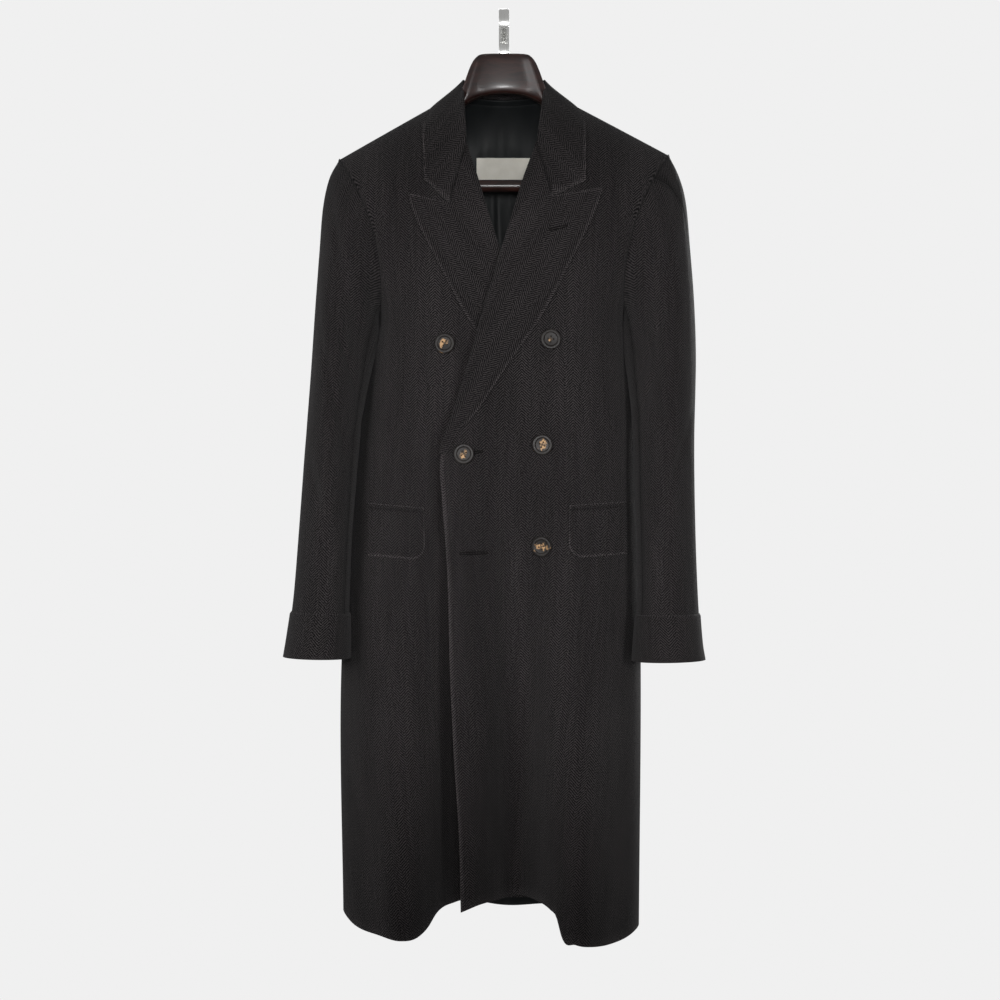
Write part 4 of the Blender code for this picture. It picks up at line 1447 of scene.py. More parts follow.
@dataclass
class Lapel:
    """One peak lapel, from a rounded roll line outwards and from its foot to the notch."""

    side: SideForm
    flat: Cut = (0.125, 0.41)
    area: float = 0.028
    rows: int = 120
    columns: int = 44
    lift: float = 5.0
    bulge: float = 5.0
    bulge_place: float = 0.14
    bulge_spread: float = 0.16
    foot: float = 0.3
    clear: float = 0.7
    wall: float = 2.2

    def points(self) -> Array:
        """Grid of the lapel's outer surface with its roll.

        Returns:
            The grid.
        """
        side = self.side
        up = np.linspace(0.0, 1.0, self.rows + 1)
        out = notch_steps(self.columns)
        roll_z = ROLL_END_Z + 2.0 + (GORGE_Z - ROLL_END_Z - 2.0) * up
        roll_x = table_curve(side.edge, "z", "x", roll_z)
        edge = LAPEL_EDGE + (EdgeRow(side.top.tip_z, side.top.tip_x),)
        edge_x = row_curve(edge, "x", up * (len(edge) - 1))
        edge_z = row_curve(edge, "z", up * (len(edge) - 1))
        own_x = roll_x[:, None] * (1.0 - out) + edge_x[:, None] * out
        z = roll_z[:, None] * (1.0 - out) + edge_z[:, None] * out
        notch = (side.top.notch_x, side.top.notch_z)
        tip = (side.top.tip_x, side.top.tip_z)
        end_x, end_z = bent_end((roll_x[-1], GORGE_Z), notch, tip, out)
        late = up[:, None] ** END_SHARPNESS
        own_x = own_x + late * (end_x - own_x[-1])
        z = z + late * (end_z - z[-1])
        bulge = self.bulge * bell((out - self.bulge_place) / self.bulge_spread)
        bulge = bulge * ease(up / self.foot)[:, None]
        if side.right:
            bulge = bulge * (1.0 - BODY.lap_share(z))
        lift = self.lift + bulge
        sheet = BODY.on_front(side.sign * own_x, z, side, lift)
        return rolled(sheet, (lift[:, 0] - self.clear) / 2, side.right)

    def build(self) -> None:
        """Make the lapel with its grain along the outer edge."""
        points = self.points()
        top = self.side.top
        foot = LAPEL_EDGE[0]
        run_x, run_z = unit(np.array([top.tip_x - foot.x, top.tip_z - foot.z]))
        from_x = self.side.sign * points[..., 0] - foot.x
        from_z = points[..., 2] - foot.z
        cloth = np.stack([from_z * run_x - from_x * run_z, from_x * run_x + from_z * run_z], axis=-1) * MM
        name = self.side.name
        # Painted shade along the gorge seam as far as the notch, painted highlight along the free top and
        # outer edges.
        notched = notched_tones(points.shape[1], self.columns)
        Sheet(
            "lapel_" + name, points, cloth, self.flat, self.area, ("front_" + name,),
            turned=self.side.right, wall=self.wall, rim=0.7,
            tones=edge_tones(points.shape[:2], last_row=notched, last_column=FREE_EDGE_HIGHLIGHT),
        ).build()


@dataclass
class Collar:
    """The collar: its fall, which rolls over at the fold, and the stand inside it."""

    rows: tuple[CollarRow, ...] = (
        CollarRow(0, 73, -80, 0, 100, -160),
        CollarRow(33, 64, -82, 62, 92, -158),
        CollarRow(53, 36, -88, 97, 54, -148),
        CollarRow(57, 6, -92, 109, -4, -133),
        CollarRow(57, -20, -112, 109, -42, -176),
        CollarRow(53, -46, -151, 108, -62, -212),
    )
    stand_rows: tuple[StandRow, ...] = (
        StandRow(0, 60, -110, 0, 69.5, -82),
        StandRow(33, 46, -110, 31.5, 60.5, -84),
        StandRow(53, 25, -110, 50.5, 34.5, -90),
        StandRow(60.5, 3, -110, 54.5, 6, -94.5),
    )
    half_columns: int = 110
    half_length: float = 245.0
    rise_end: float = 0.76
    steps: int = 32
    lift: float = 6.0
    swell: float = 4.0
    swell_place: float = 0.25
    end_lift: float = 5.6
    end_bulge: float = 5.0
    bulge_place: float = 0.14
    bulge_spread: float = 0.16
    end_power: int = 10
    rise_blend: float = 0.14
    cover_start: float = 44.0
    cover_blend: float = 24.0
    cover_depth: float = 0.4
    leaf_blend: float = 0.1
    held_end: int = 26
    gorge_gap: float = 0.5
    back_roll: float = 1.3
    front_roll: float = 2.4
    wall: float = 2.2
    smoothings: int = 260

    def read(self, rows: Sequence[tuple], columns: int) -> tuple[Array, dict[str, Array]]:
        """Read a table all round the neck, mirrored about the middle of the back.

        Args:
            rows: Rows of the table.
            columns: Steps on each side of the middle.

        Returns:
            The places and the table's columns.
        """
        place = np.linspace(-1.0, 1.0, 2 * columns + 1)
        row = np.abs(place) * (len(rows) - 1)
        return place, {name: row_curve(rows, name, row) for name in rows[0]._fields}

    def clear_of_body(self, x: Array, y: Array, z: Array, lift: Array, high: Array) -> Array:
        """Move points that cover the shoulders out of the body's surface.

        Args:
            x: Places across.
            y: Places front to back.
            z: Heights.
            lift: Distance off the cloth below.
            high: Share of a point's rise over the shoulder that it takes.

        Returns:
            The points outside the body.
        """
        front = y < 0
        depth = np.where(
            front, table_curve(BODY.rows, "z", "front", z), table_curve(BODY.rows, "z", "back", z)
        )
        share = np.clip(np.abs(y) / depth, 0.0, 0.98)
        surface_z = BODY.ridge(x) - BODY.shoulder_round * (1.0 - np.sqrt(1.0 - share**2))
        near_ridge = high * ease((np.abs(x) - self.cover_start) / self.cover_blend)
        near_ridge = near_ridge * (1.0 - ease((share - self.cover_depth) / self.cover_depth))
        z = z + near_ridge * np.maximum(surface_z + lift - z, 0.0)
        skin = np.where(x < 0, BODY.front(x, z, RIGHT), BODY.front(x, z, LEFT))
        pushed = np.where(front, np.minimum(y, skin - lift), np.maximum(y, BODY.back(x, z) + lift))
        return stack(x, y + ease((BODY.ridge(x) - z) / lift) * (pushed - y), z)

    def relaxed(self, points: Array) -> Array:
        """Smooth a grid a little inside its edges and along its outer edge.

        Args:
            points: Grid of the fall.

        Returns:
            The smoothed grid.
        """
        points = points.copy()
        held = self.held_end
        for _ in range(self.smoothings):
            inner = (points[:-2, 1:-1] + points[2:, 1:-1] + points[1:-1, :-2] + points[1:-1, 2:]) / 4
            rim = (points[-1, :-2] + points[-1, 2:]) / 2
            points[1:-1, 1:-1] += 0.5 * (inner - points[1:-1, 1:-1])
            points[-1, held:-held] += 0.5 * (rim[held - 1 : 1 - held] - points[-1, held:-held])
        return points

    def fall(self) -> tuple[Array, Array]:
        """Grid of the fall's outer surface with its roll, round the neck, and its grain.

        Returns:
            The grid and its cloth coordinates.
        """
        place, row = self.read(self.rows, self.half_columns)
        down = notch_steps(self.steps)[:, None]
        last = self.rows[-1]
        halves = []
        for side in SIDES:
            half = place <= 0 if side.right else place > 0
            late = np.abs(place[half]) ** END_SHARPNESS
            own_x, y, z = (
                row["fold_" + axis][half] * (1 - down) + row["edge_" + axis][half] * down for axis in "xyz"
            )
            roll_x = table_curve(side.edge, "z", "x", GORGE_Z)
            notch = (side.top.notch_x, side.top.notch_z)
            point = (side.top.point_x, side.top.point_z)
            end_x, end_z = bent_end((roll_x, GORGE_Z), notch, point, down)
            own_x = own_x + late * (end_x + self.gorge_gap - last.fold_x * (1 - down) - last.edge_x * down)
            z = z + late * (end_z + self.gorge_gap - last.fold_z * (1 - down) - last.edge_z * down)
            lift = self.lift + self.swell * bell(down / self.swell_place - 1.0)
            end_lift = self.end_lift + self.end_bulge * bell((down - self.bulge_place) / self.bulge_spread)
            lift = lift + np.abs(place[half]) ** self.end_power * (end_lift - lift)
            high = 1.0 - ease((np.abs(place[half]) - self.rise_end) / self.rise_blend)
            halves.append(self.clear_of_body(side.sign * own_x, y, z, lift, high))
        sheet = self.relaxed(np.concatenate(halves, axis=1)).transpose(1, 0, 2)
        radius = self.back_roll + (self.front_roll - self.back_roll) * place**4
        points = rolled(sheet, radius, True)
        return points, self.grain(points, place[:, None])

    def grain(self, points: Array, place: Array) -> Array:
        """Cloth coordinates of the fall: round the neck behind, level with its leaf in front.

        Args:
            points: Points of the fall.
            place: Their places round the neck, from -1 to 1.

        Returns:
            The coordinates in metres.
        """
        leaf = self.rows[-2]
        out_x, out_z = unit(np.array([leaf.edge_x - leaf.fold_x, leaf.edge_z - leaf.fold_z]))
        from_x = np.abs(points[..., 0]) - leaf.fold_x
        from_z = points[..., 2] - leaf.fold_z
        leaf_place = (len(self.rows) - 2) / (len(self.rows) - 1)
        ahead = leaf_place * self.half_length + from_x * out_z - from_z * out_x
        front = ease((np.abs(place) - leaf_place + self.leaf_blend) / self.leaf_blend)
        around = np.abs(place) * self.half_length
        around = np.sign(place) * (around + front * (ahead - around)) * MM
        down = arc(points, 1)
        return np.stack([around, down + front * ((from_x * out_x + from_z * out_z) * MM - down)], axis=-1)

    def stand(self) -> Array:
        """Grid of the stand, from the neck seam up to the fold.

        Returns:
            The grid.
        """
        place, row = self.read(self.stand_rows, self.half_columns // 2)
        up = np.linspace(0.0, 1.0, 12)[:, None]
        x, y, z = (row["seam_" + axis] * (1 - up) + row["top_" + axis] * up for axis in "xyz")
        return stack(np.sign(place) * x, y, z)

    def build(self) -> None:
        """Make the fall and the stand."""
        fall, fall_cloth = self.fall()
        stand = self.stand()
        stand_cloth = np.stack([arc(stand, 1), arc(stand, 0)], axis=-1)
        rests = ("front_right", "front_left", "back")
        # Painted shade along the ends' sewn parts, painted highlight along their free parts and the outer
        # edge.
        notched = notched_tones(fall.shape[1], self.steps)
        tones = edge_tones(fall.shape[:2], notched, notched, last_column=FREE_EDGE_HIGHLIGHT)
        Sheet(
            "collar_fall", fall, fall_cloth, (0.56, 0.115), 0.041, rests,
            turned=True, wall=self.wall, rim=0.7, tones=tones,
        ).build()
        Sheet("collar_stand", stand, stand_cloth, (0.19, 0.034), 0.0054, rests, turned=True).build()


@dataclass
class Sleeve:
    """One sleeve: the top sleeve, the under sleeve and the cuff band."""

    side: SideForm
    top_flat: Cut
    top_area: float
    under_flat: Cut
    under_area: float
    cuff_flat: Cut = (0.235, 0.08)
    cuff_area: float = 0.0178
    rows: int = 150
    columns: int = 52
    tuck: float = 6.0
    tuck_in: float = 4.0
    tuck_least: float = 12.0
    hem_gap: float = 0.05
    blend: float = 1.6
    fore_seam: float = 150.0
    seam_turn: float = 0.3
    cap_row: int = 3
    cuff_start: float = 8.35
    cuff_lift: float = 2.2
    cuff_rest: float = 0.8
    cuff_turn: float = 0.05
    cuff_columns: int = 120

    def creases(self, turn: Array, row: Array) -> Array:
        """How far the sleeve's creases sink at each place.

        Args:
            turn: Turns in radians.
            row: Rows of the sleeve's table.

        Returns:
            The depths.
        """
        total = np.zeros(np.broadcast(turn, row).shape)
        for crease in self.side.sleeve_creases:
            around = (np.degrees(turn) - crease.turn + 180.0) % 360.0 - 180.0
            along = (row - crease.row - crease.slant * around) / crease.reach
            total = total + crease.depth * bell(around / crease.spread) * bell(along)
        return total

    def points(self, turn: Array, row: Array, lift: Array) -> Array:
        """Points at turns round the sleeve and table rows down it.

        Args:
            turn: Turns in radians.
            row: Rows of the sleeve's table.
            lift: Distance off the sleeve's own surface.

        Returns:
            The points.
        """
        side = self.side
        read = {name: row_curve(side.sleeve, name, row) for name in SleeveRow._fields}
        swell = lift - self.creases(turn, row)
        half_x = (read["out_x"] - read["in_x"]) / 2
        x = (read["out_x"] + read["in_x"]) / 2 + (half_x + side.sign * swell) * np.cos(turn)
        x = x - side.sign * read["bow"] * np.sin(turn) ** 2
        z = (read["out_z"] + read["in_z"]) / 2 + (read["out_z"] - read["in_z"]) / 2 * np.cos(turn)
        y = read["middle_y"] - (read["half_depth"] + swell) * np.sin(turn)
        join = BODY.armhole(side, turn)[..., 1] + side.sleeve[0].half_depth * np.sin(turn)
        return stack(x, y + np.clip(1.0 - row / self.blend, 0.0, 1.0) ** 2 * join, z)

    def grain(self, points: Array, turn: Array, under: bool) -> Array:
        """Cloth coordinates of a panel, round the sleeve and up it, in metres.

        Args:
            points: Points of the panel.
            turn: Their turns in radians.
            under: Whether it is the under sleeve.

        Returns:
            The coordinates, with the twill's columns upright.
        """
        across = arc(points, 1, LEVEL)
        facing = math.radians(270.0 if under else 90.0)
        middle = np.array([np.interp(facing, turns, run) for turns, run in zip(turn, across)])
        middle_x = np.array([np.interp(facing, turns, row) for turns, row in zip(turn, points[..., 0])])
        cap = self.rows * self.cap_row // (len(self.side.sleeve) - 1)
        outward = self.side.sign * (middle_x - middle_x[cap]) * MM
        outward[cap:] = 0.0
        around = across - middle[:, None] - outward[:, None] * np.sin(turn) * np.abs(np.sin(turn))
        return np.stack([around, points[..., 2] * MM], axis=-1)

    def panel(self, under: bool) -> tuple[Array, Array]:
        """Grid of the top or the under sleeve, tucked in at the armhole, and its grain.

        Args:
            under: Whether it is the under sleeve.

        Returns:
            The points and their cloth coordinates.
        """
        side = self.side
        last = len(side.sleeve) - 1
        row = np.linspace(0.0, last - self.hem_gap, self.rows + 1)[:, None]
        hind = side.hind_start + (side.hind_end - side.hind_start) * row / last
        start = self.fore_seam + self.seam_turn + 0.0 * row if under else hind
        end = hind + 360.0 - self.seam_turn if under else self.fore_seam + 0.0 * row
        turn = np.radians(start + (end - start) * np.linspace(0.0, 1.0, self.columns + 1))
        points = self.points(turn, row, 0.0)
        cloth = self.grain(points, turn, under)
        inner = points[:1] - np.array([side.sign * self.tuck, 0.0, self.tuck / 3])
        inner[..., 1] *= 1.0 - self.tuck_in / np.maximum(np.abs(inner[..., 1]), self.tuck_least)
        return np.concatenate([inner, points]), np.concatenate([cloth[:1], cloth])

    def cuff(self) -> Array:
        """Grid of the cuff band, with its top edge tucked against the sleeve.

        Returns:
            The grid.
        """
        last = len(self.side.sleeve) - 1
        start = self.cuff_start
        turn_in = start + np.array([0.0, 0.008, 0.025])
        row = np.concatenate([turn_in, np.linspace(start + self.cuff_turn, last, 26)])[:, None]
        lift = self.cuff_rest + (self.cuff_lift - self.cuff_rest) * ease((row - start) / self.cuff_turn)
        turn = np.arange(self.cuff_columns) * 2 * math.pi / self.cuff_columns
        return self.points(turn, row, lift)

    def build(self) -> None:
        """Make the two sleeve panels and the cuff."""
        side = self.side
        cuts = (("top", self.top_flat, self.top_area), ("under", self.under_flat, self.under_area))
        for kind, flat, area in cuts:
            points, cloth = self.panel(kind == "under")
            rests = ("front_" + side.name, "back")
            name = kind + "_sleeve_" + side.name
            # Painted shade along the sleeve's seams and the armhole row.
            tones = edge_tones(points.shape[:2], SEAM_SHADE, 0.0, SEAM_SHADE, SEAM_SHADE)
            tones[1] = SEAM_SHADE
            Sheet(
                name, points, cloth, flat, area, rests, turned=side.right, lined=True, tones=tones
            ).build()
        cuff = self.cuff()
        round_cuff = np.concatenate([cuff, cuff[:, :1]], axis=1)
        cloth = np.stack([arc(round_cuff, 1, LEVEL), round_cuff[..., 2] * MM], axis=-1)
        rests = ("top_sleeve_" + side.name, "under_sleeve_" + side.name)
        # The cuff's top edge gets a painted highlight.
        Sheet(
            "cuff_" + side.name, cuff, cloth, self.cuff_flat, self.cuff_area, rests,
            turned=side.right, closed=True, rim=0.6,
            tones=edge_tones(cuff.shape[:2], first_row=FREE_EDGE_HIGHLIGHT),
        ).build()


@dataclass
class PocketSet:
    """The flap and the narrow welt of one pocket."""

    side: SideForm
    drop: float = 64.0
    corner: float = 18.0
    lift: float = 2.3
    swing: float = 2.0
    welt_height: float = 5.5
    welt_wall: float = 1.3
    welt_start: float = 0.4
    welt_lift: float = 1.4
    flap_wall: float = 1.6
    crowding: float = 1.5
    columns: int = 64
    rows: int = 40
    flap_cut: Cut = (0.088, 0.066)
    flap_area: float = 0.0057
    welt_cut: Cut = (0.088, 0.0102)
    welt_area: float = 0.00048
    # Strength of the painted highlight on the free edges of flap and welt.
    painted_edge_shading: float = 1.7

    def flap(self) -> Array:
        """Grid of the flap, from its front edge to the back and from the welt down.

        Returns:
            The grid.
        """
        pocket = self.side.pocket
        along = np.linspace(0.0, 1.0, self.columns + 1) ** self.crowding
        down = np.linspace(0.0, 1.0, self.rows + 1)[:, None]
        x = pocket.front_x + (pocket.rear_x - pocket.front_x) * along
        top = pocket.front_z + (pocket.rear_z - pocket.front_z) * along
        inset = np.clip(self.corner - np.abs(x - pocket.front_x), 0.0, self.corner)
        corner = self.corner - np.sqrt(self.corner**2 - inset**2)
        z = top - (self.drop - corner) * down
        return BODY.on_front(x + 0.0 * z, z, self.side, self.lift + self.swing * down)

    def welt(self) -> Array:
        """Grid of the welt above the flap, softly rounded.

        Returns:
            The grid.
        """
        pocket = self.side.pocket
        along = np.linspace(0.0, 1.0, self.columns + 1)
        up = np.linspace(0.0, 1.0, 9)[:, None]
        x = pocket.front_x + (pocket.rear_x - pocket.front_x) * along
        top = pocket.front_z + (pocket.rear_z - pocket.front_z) * along
        z = top + self.welt_start + (self.welt_height - self.welt_start) * up
        lift = self.welt_lift + (self.lift - self.welt_lift) * np.sin(math.pi * up) ** 0.5
        return BODY.on_front(x + 0.0 * z, z, self.side, lift + 0.0 * z)

    def build(self) -> None:
        """Make the flap and the welt."""
        right = self.side.right
        name = self.side.name
        rests = ("front_" + name,)
        flap = self.flap()
        welt = self.welt()
        sheets = (
            ("pocket_flap_" + name, flap, self.flap_cut, self.flap_area, not right, self.flap_wall),
            ("pocket_welt_" + name, welt, self.welt_cut, self.welt_area, right, self.welt_wall),
        )
        for node, points, flat, area, turned, wall in sheets:
            cloth = points[..., ::2] * MM
            # Painted shade along the sewn first row, painted highlight along the free last row and the front
            # end.
            tones = edge_tones(points.shape[:2], SEAM_SHADE, self.painted_edge_shading, self.painted_edge_shading, 0.0)
            Sheet(
                node, points, cloth, flat, area, rests, turned=turned, wall=wall, tones=tones
            ).build()


@dataclass
class NeckInside:
    """The lining that shows inside the back neck, and the bare label on it."""

    top: float = -119.0
    bottom: float = -350.0
    half_top: float = 58.0
    half_bottom: float = 92.0
    inset: float = 4.6
    neck_inset: float = 2.0
    label_half: float = 38.0
    label_top: float = -188.0
    label_bottom: float = -218.0
    label_inset: float = 7.4
    label_curl: float = 1.1
    creases: tuple[Crease, ...] = (
        Crease(-34, -128, -40, -345, 7, 1.9, 3),
        Crease(-19, -150, -16, -345, 5, -1.2, -2),
        Crease(-8, -215, -2, -345, 6, 1.6, 2),
        Crease(10, -122, 9, -340, 6, -1.0, 2),
        Crease(24, -140, 30, -345, 7, 1.6, -3),
        Crease(44, -125, 52, -330, 7, -1.4, 2),
    )

    def lining(self) -> Array:
        """Grid of the lining with its soft upright folds.

        Returns:
            The grid.
        """
        across = np.linspace(-1.0, 1.0, 121)
        z = np.linspace(self.bottom, self.top, 81)[:, None]
        share = (z - self.bottom) / (self.top - self.bottom)
        x = (self.half_bottom + (self.half_top - self.half_bottom) * share) * across
        y = BODY.back(x, z) - self.inset - self.neck_inset * share + crease_depth(self.creases, x, z)
        return stack(x, y, z + 0.0 * x)

    def label(self) -> Array:
        """Grid of the label, whose lower edge stands off a little.

        Returns:
            The grid.
        """
        x = np.linspace(-self.label_half, self.label_half, 61)
        z = np.linspace(self.label_bottom, self.label_top, 25)[:, None]
        off = self.label_curl * ((self.label_top - z) / (self.label_top - self.label_bottom)) ** 2
        return stack(x + 0.0 * z, BODY.back(x, z) - self.label_inset - off, z + 0.0 * x)

    def build(self) -> None:
        """Make the lining and the label."""
        sheets = (
            ("back_lining", self.lining(), (0.186, 0.235), 0.036, ("back",), SATIN, Slot.SATIN, 1.2),
            ("label", self.label(), (0.077, 0.031), 0.0023, ("back_lining",), LabelCloth(), Slot.LABEL, 0.8),
        )
        for node, points, flat, area, rests, finish, slot, wall in sheets:
            cloth = points[..., ::2] * MM
            Sheet(
                node, points, cloth, flat, area, rests, finish, slot, turned=True, wall=wall, rim=0.25
            ).build()


class Bench:
    """Edit-mode work on one hard piece, with selections by place and facing."""

    def __init__(self, name: str, finish: Finish) -> None:
        """Take the object that was just added, name it and give it its finish.

        Args:
            name: Name of the piece.
            finish: Its finish.
        """
        self.obj = bpy.context.object
        self.obj.name = name
        self.obj.data.name = name
        self.obj.data.materials.append(finish.material())
        self.settle()

    def settle(self) -> None:
        """Put the object's place and turn into its mesh."""
        select_only(self.obj)
        bpy.ops.object.transform_apply(location=True, rotation=True, scale=True)

    def pick(self, test: Callable[[Vector, Vector], bool]) -> None:
        """Select the faces whose middle and normal pass a test, and stay in edit mode.

        Args:
            test: Test of a face's middle and normal.
        """
        bpy.ops.object.mode_set(mode="EDIT")
        bpy.ops.mesh.select_mode(type="FACE")
        bpy.ops.mesh.select_all(action="DESELECT")
        bpy.ops.object.mode_set(mode="OBJECT")
        for face in self.obj.data.polygons:
            face.select = test(face.center, face.normal)
        bpy.ops.object.mode_set(mode="EDIT")

    def leave(self) -> None:
        """Go back to object mode."""
        bpy.ops.object.mode_set(mode="OBJECT")

    def inset_and_move(self, inset: float, rise: float) -> None:
        """Inset the selected face and move it up, in millimetres."""
        bpy.ops.mesh.inset(thickness=inset * MM, depth=0.0)
        bpy.ops.transform.translate(value=(0.0, 0.0, rise * MM))

    def bevel_sharp(self, width: float, segments: int, degrees: float = 40.0) -> None:
        """Round the edges sharper than an angle.

        Args:
            width: Width of the rounding.
            segments: Steps of the rounding.
            degrees: The angle.
        """
        rounding = self.obj.modifiers.new("rounding", "BEVEL")
        rounding.width = width * MM
        rounding.segments = segments
        rounding.limit_method = "ANGLE"
        rounding.angle_limit = math.radians(degrees)
        apply_modifiers(self.obj)

    def smooth(self, degrees: float = 35.0) -> Piece:
        """Shade smooth up to an angle.

        Args:
            degrees: The angle.

        Returns:
            The piece.
        """
        select_only(self.obj)
        bpy.ops.object.shade_smooth_by_angle(angle=math.radians(degrees))
        return self.obj


def placed_copy(source: Piece, name: str, matrix: Matrix) -> Piece:
    """Copy a model with its own mesh and put its place into the mesh.

    Args:
        source: The model.
        name: Name of the copy.
        matrix: Where the copy goes.

    Returns:
        The copy.
    """
    copy = bpy.data.objects.new(name, source.data.copy())
    copy.data.transform(matrix)
    bpy.context.scene.collection.objects.link(copy)
    return copy


class ButtonPlace(NamedTuple):
    """Node, front, place and turn of one button."""

    node: str
    side: SideForm
    x: float
    z: float
    turn: float


@dataclass
class Buttons:
    """Five horn buttons with a rim, a dish and four holes, and their crossed threads."""

    radius: float = 13.6
    lift: float = 1.2
    hole_radius: float = 1.15
    hole_place: float = 2.5
    thread_radius: float = 0.55
    thread_rise: float = 1.1
    thread_dip: float = 2.4
    thread_seat: float = 1.6
    heart: float = 9.5
    places: tuple[ButtonPlace, ...] = (
        ButtonPlace("button_upper_right", RIGHT, -78, -458, 12),
        ButtonPlace("button_upper_left", LEFT, 61, -453, 40),
        ButtonPlace("button_middle_right", LEFT, -53, -604, -14),
        ButtonPlace("button_middle_left", LEFT, 50, -592, 22),
        ButtonPlace("button_lower_left", LEFT, 50, -726, -35),
    )

    def model(self) -> Piece:
        """Turn one button from a disc: rim, dish, rounded back and four holes.

        Returns:
            The button.
        """
        bpy.ops.mesh.primitive_cylinder_add(
            vertices=56, radius=self.radius * MM, depth=2.2 * MM, location=(0.0, 0.0, 1.3 * MM)
        )
        bench = Bench("button_model", Horn())
        bench.pick(lambda middle, normal: normal.z > 0.9)
        bench.inset_and_move(1.1, 1.2)
        bench.inset_and_move(2.6, 0.1)
        bench.inset_and_move(1.5, -1.2)
        bench.inset_and_move(4.0, -0.3)
        bench.pick(lambda middle, normal: normal.z < -0.9)
        bench.inset_and_move(2.0, -0.2)
        bench.leave()
        bench.bevel_sharp(0.35, 3)
        self.drill(bench.obj)
        mesh = bench.obj.data
        heart = mesh.attributes.new(HEART, "FLOAT", "POINT")
        for vertex, mark in zip(mesh.vertices, heart.data):
            mark.value = max(0.0, 1.0 - vertex.co.xy.length / (self.heart * MM))
        return bench.smooth(30.0)

    def drill(self, button: Piece) -> None:
        """Cut the four holes with one cutter.

        Args:
            button: The button to drill.
        """
        drills = []
        for x in (-self.hole_place, self.hole_place):
            for y in (-self.hole_place, self.hole_place):
                place = (x * MM, y * MM, 1.5 * MM)
                bpy.ops.mesh.primitive_cylinder_add(
                    vertices=20, radius=self.hole_radius * MM, depth=12 * MM, location=place
                )
                drills.append(bpy.context.object)
        bpy.ops.object.select_all(action="DESELECT")
        for drill in drills:
            drill.select_set(True)
        bpy.ops.object.join()
        cutter = bpy.context.object
        cut = button.modifiers.new("holes", "BOOLEAN")
        cut.operation = "DIFFERENCE"
        cut.solver = "EXACT"
        cut.object = cutter
        apply_modifiers(button)
        bpy.data.objects.remove(cutter, do_unlink=True)

    def thread_model(self) -> Piece:
        """Bend two crossed threads that dip into the holes.

        Returns:
            The threads.
        """
        reach = self.hole_place * math.sqrt(2.0)
        strands = []
        for turn in (45.0, 135.0):
            bpy.ops.mesh.primitive_cylinder_add(
                vertices=10, radius=self.thread_radius * MM, depth=2.0 * reach * MM,
                rotation=(0.0, math.pi / 2, 0.0),
            )
            bench = Bench("button_thread_model", PaleThread())
            bpy.ops.object.mode_set(mode="EDIT")
            bpy.ops.mesh.select_all(action="SELECT")
            for cut_x in np.linspace(-0.9, 0.9, 9) * reach * MM:
                bpy.ops.mesh.bisect(plane_co=(cut_x, 0.0, 0.0), plane_no=(1.0, 0.0, 0.0))
                bpy.ops.mesh.select_all(action="SELECT")
            bench.leave()
            for vertex in bench.obj.data.vertices:
                share = vertex.co.x / (reach * MM)
                vertex.co.z += (self.thread_rise - self.thread_dip * share**4) * MM
            bench.obj.rotation_euler = (0.0, 0.0, math.radians(turn))
            bench.settle()
            strands.append(bench)
        strands[1].obj.data.transform(Matrix.Translation((0.0, 0.0, 0.5 * MM)))
        bpy.ops.object.select_all(action="DESELECT")
        for strand in strands:
            strand.obj.select_set(True)
        bpy.ops.object.join()
        strands[1].obj = bpy.context.object
        return strands[1].smooth(50.0)

    def build(self) -> None:
        """Seat a copy of the button and its thread at each place."""
        button = self.model()
        thread = self.thread_model()
        for place in self.places:
            seat = BODY.on_front(place.x, place.z, place.side, self.lift)
            above = BODY.on_front(place.x, place.z, place.side, self.lift + 1.0)
            facing = Vector(above - seat).to_track_quat("Z", "Y").to_matrix().to_4x4()
            spot = Matrix.Translation(Vector(seat) * MM) @ facing
            spot = spot @ Matrix.Rotation(math.radians(place.turn), 4, "Z")
            register(placed_copy(button, place.node + "_horn", spot), Slot.HORN, place.node)
            sunk = spot @ Matrix.Translation((0.0, 0.0, self.thread_seat * MM))
            register(placed_copy(thread, place.node + "_thread", sunk), Slot.WOOL)
        for model in (button, thread):
            bpy.data.objects.remove(model, do_unlink=True)


class HangerRow(NamedTuple):
    """One slanted section of the hanger: its top, its bottom and its depths."""

    top_x: float
    top: float
    bottom_x: float
    bottom: float
    front: float
    back: float

    @property
    def middle(self) -> Vector:
        """Middle of the section, in metres."""
        across = (self.top_x + self.bottom_x) / 2
        return Vector((across, (self.back - self.front) / 2, (self.top + self.bottom) / 2)) * MM

    @property
    def length(self) -> float:
        """Length of the section from top to bottom."""
        return math.hypot(self.bottom_x - self.top_x, self.top - self.bottom)

    @property
    def slant(self) -> float:
        """How far the section leans, in radians."""
        return math.atan2(self.bottom_x - self.top_x, self.top - self.bottom)


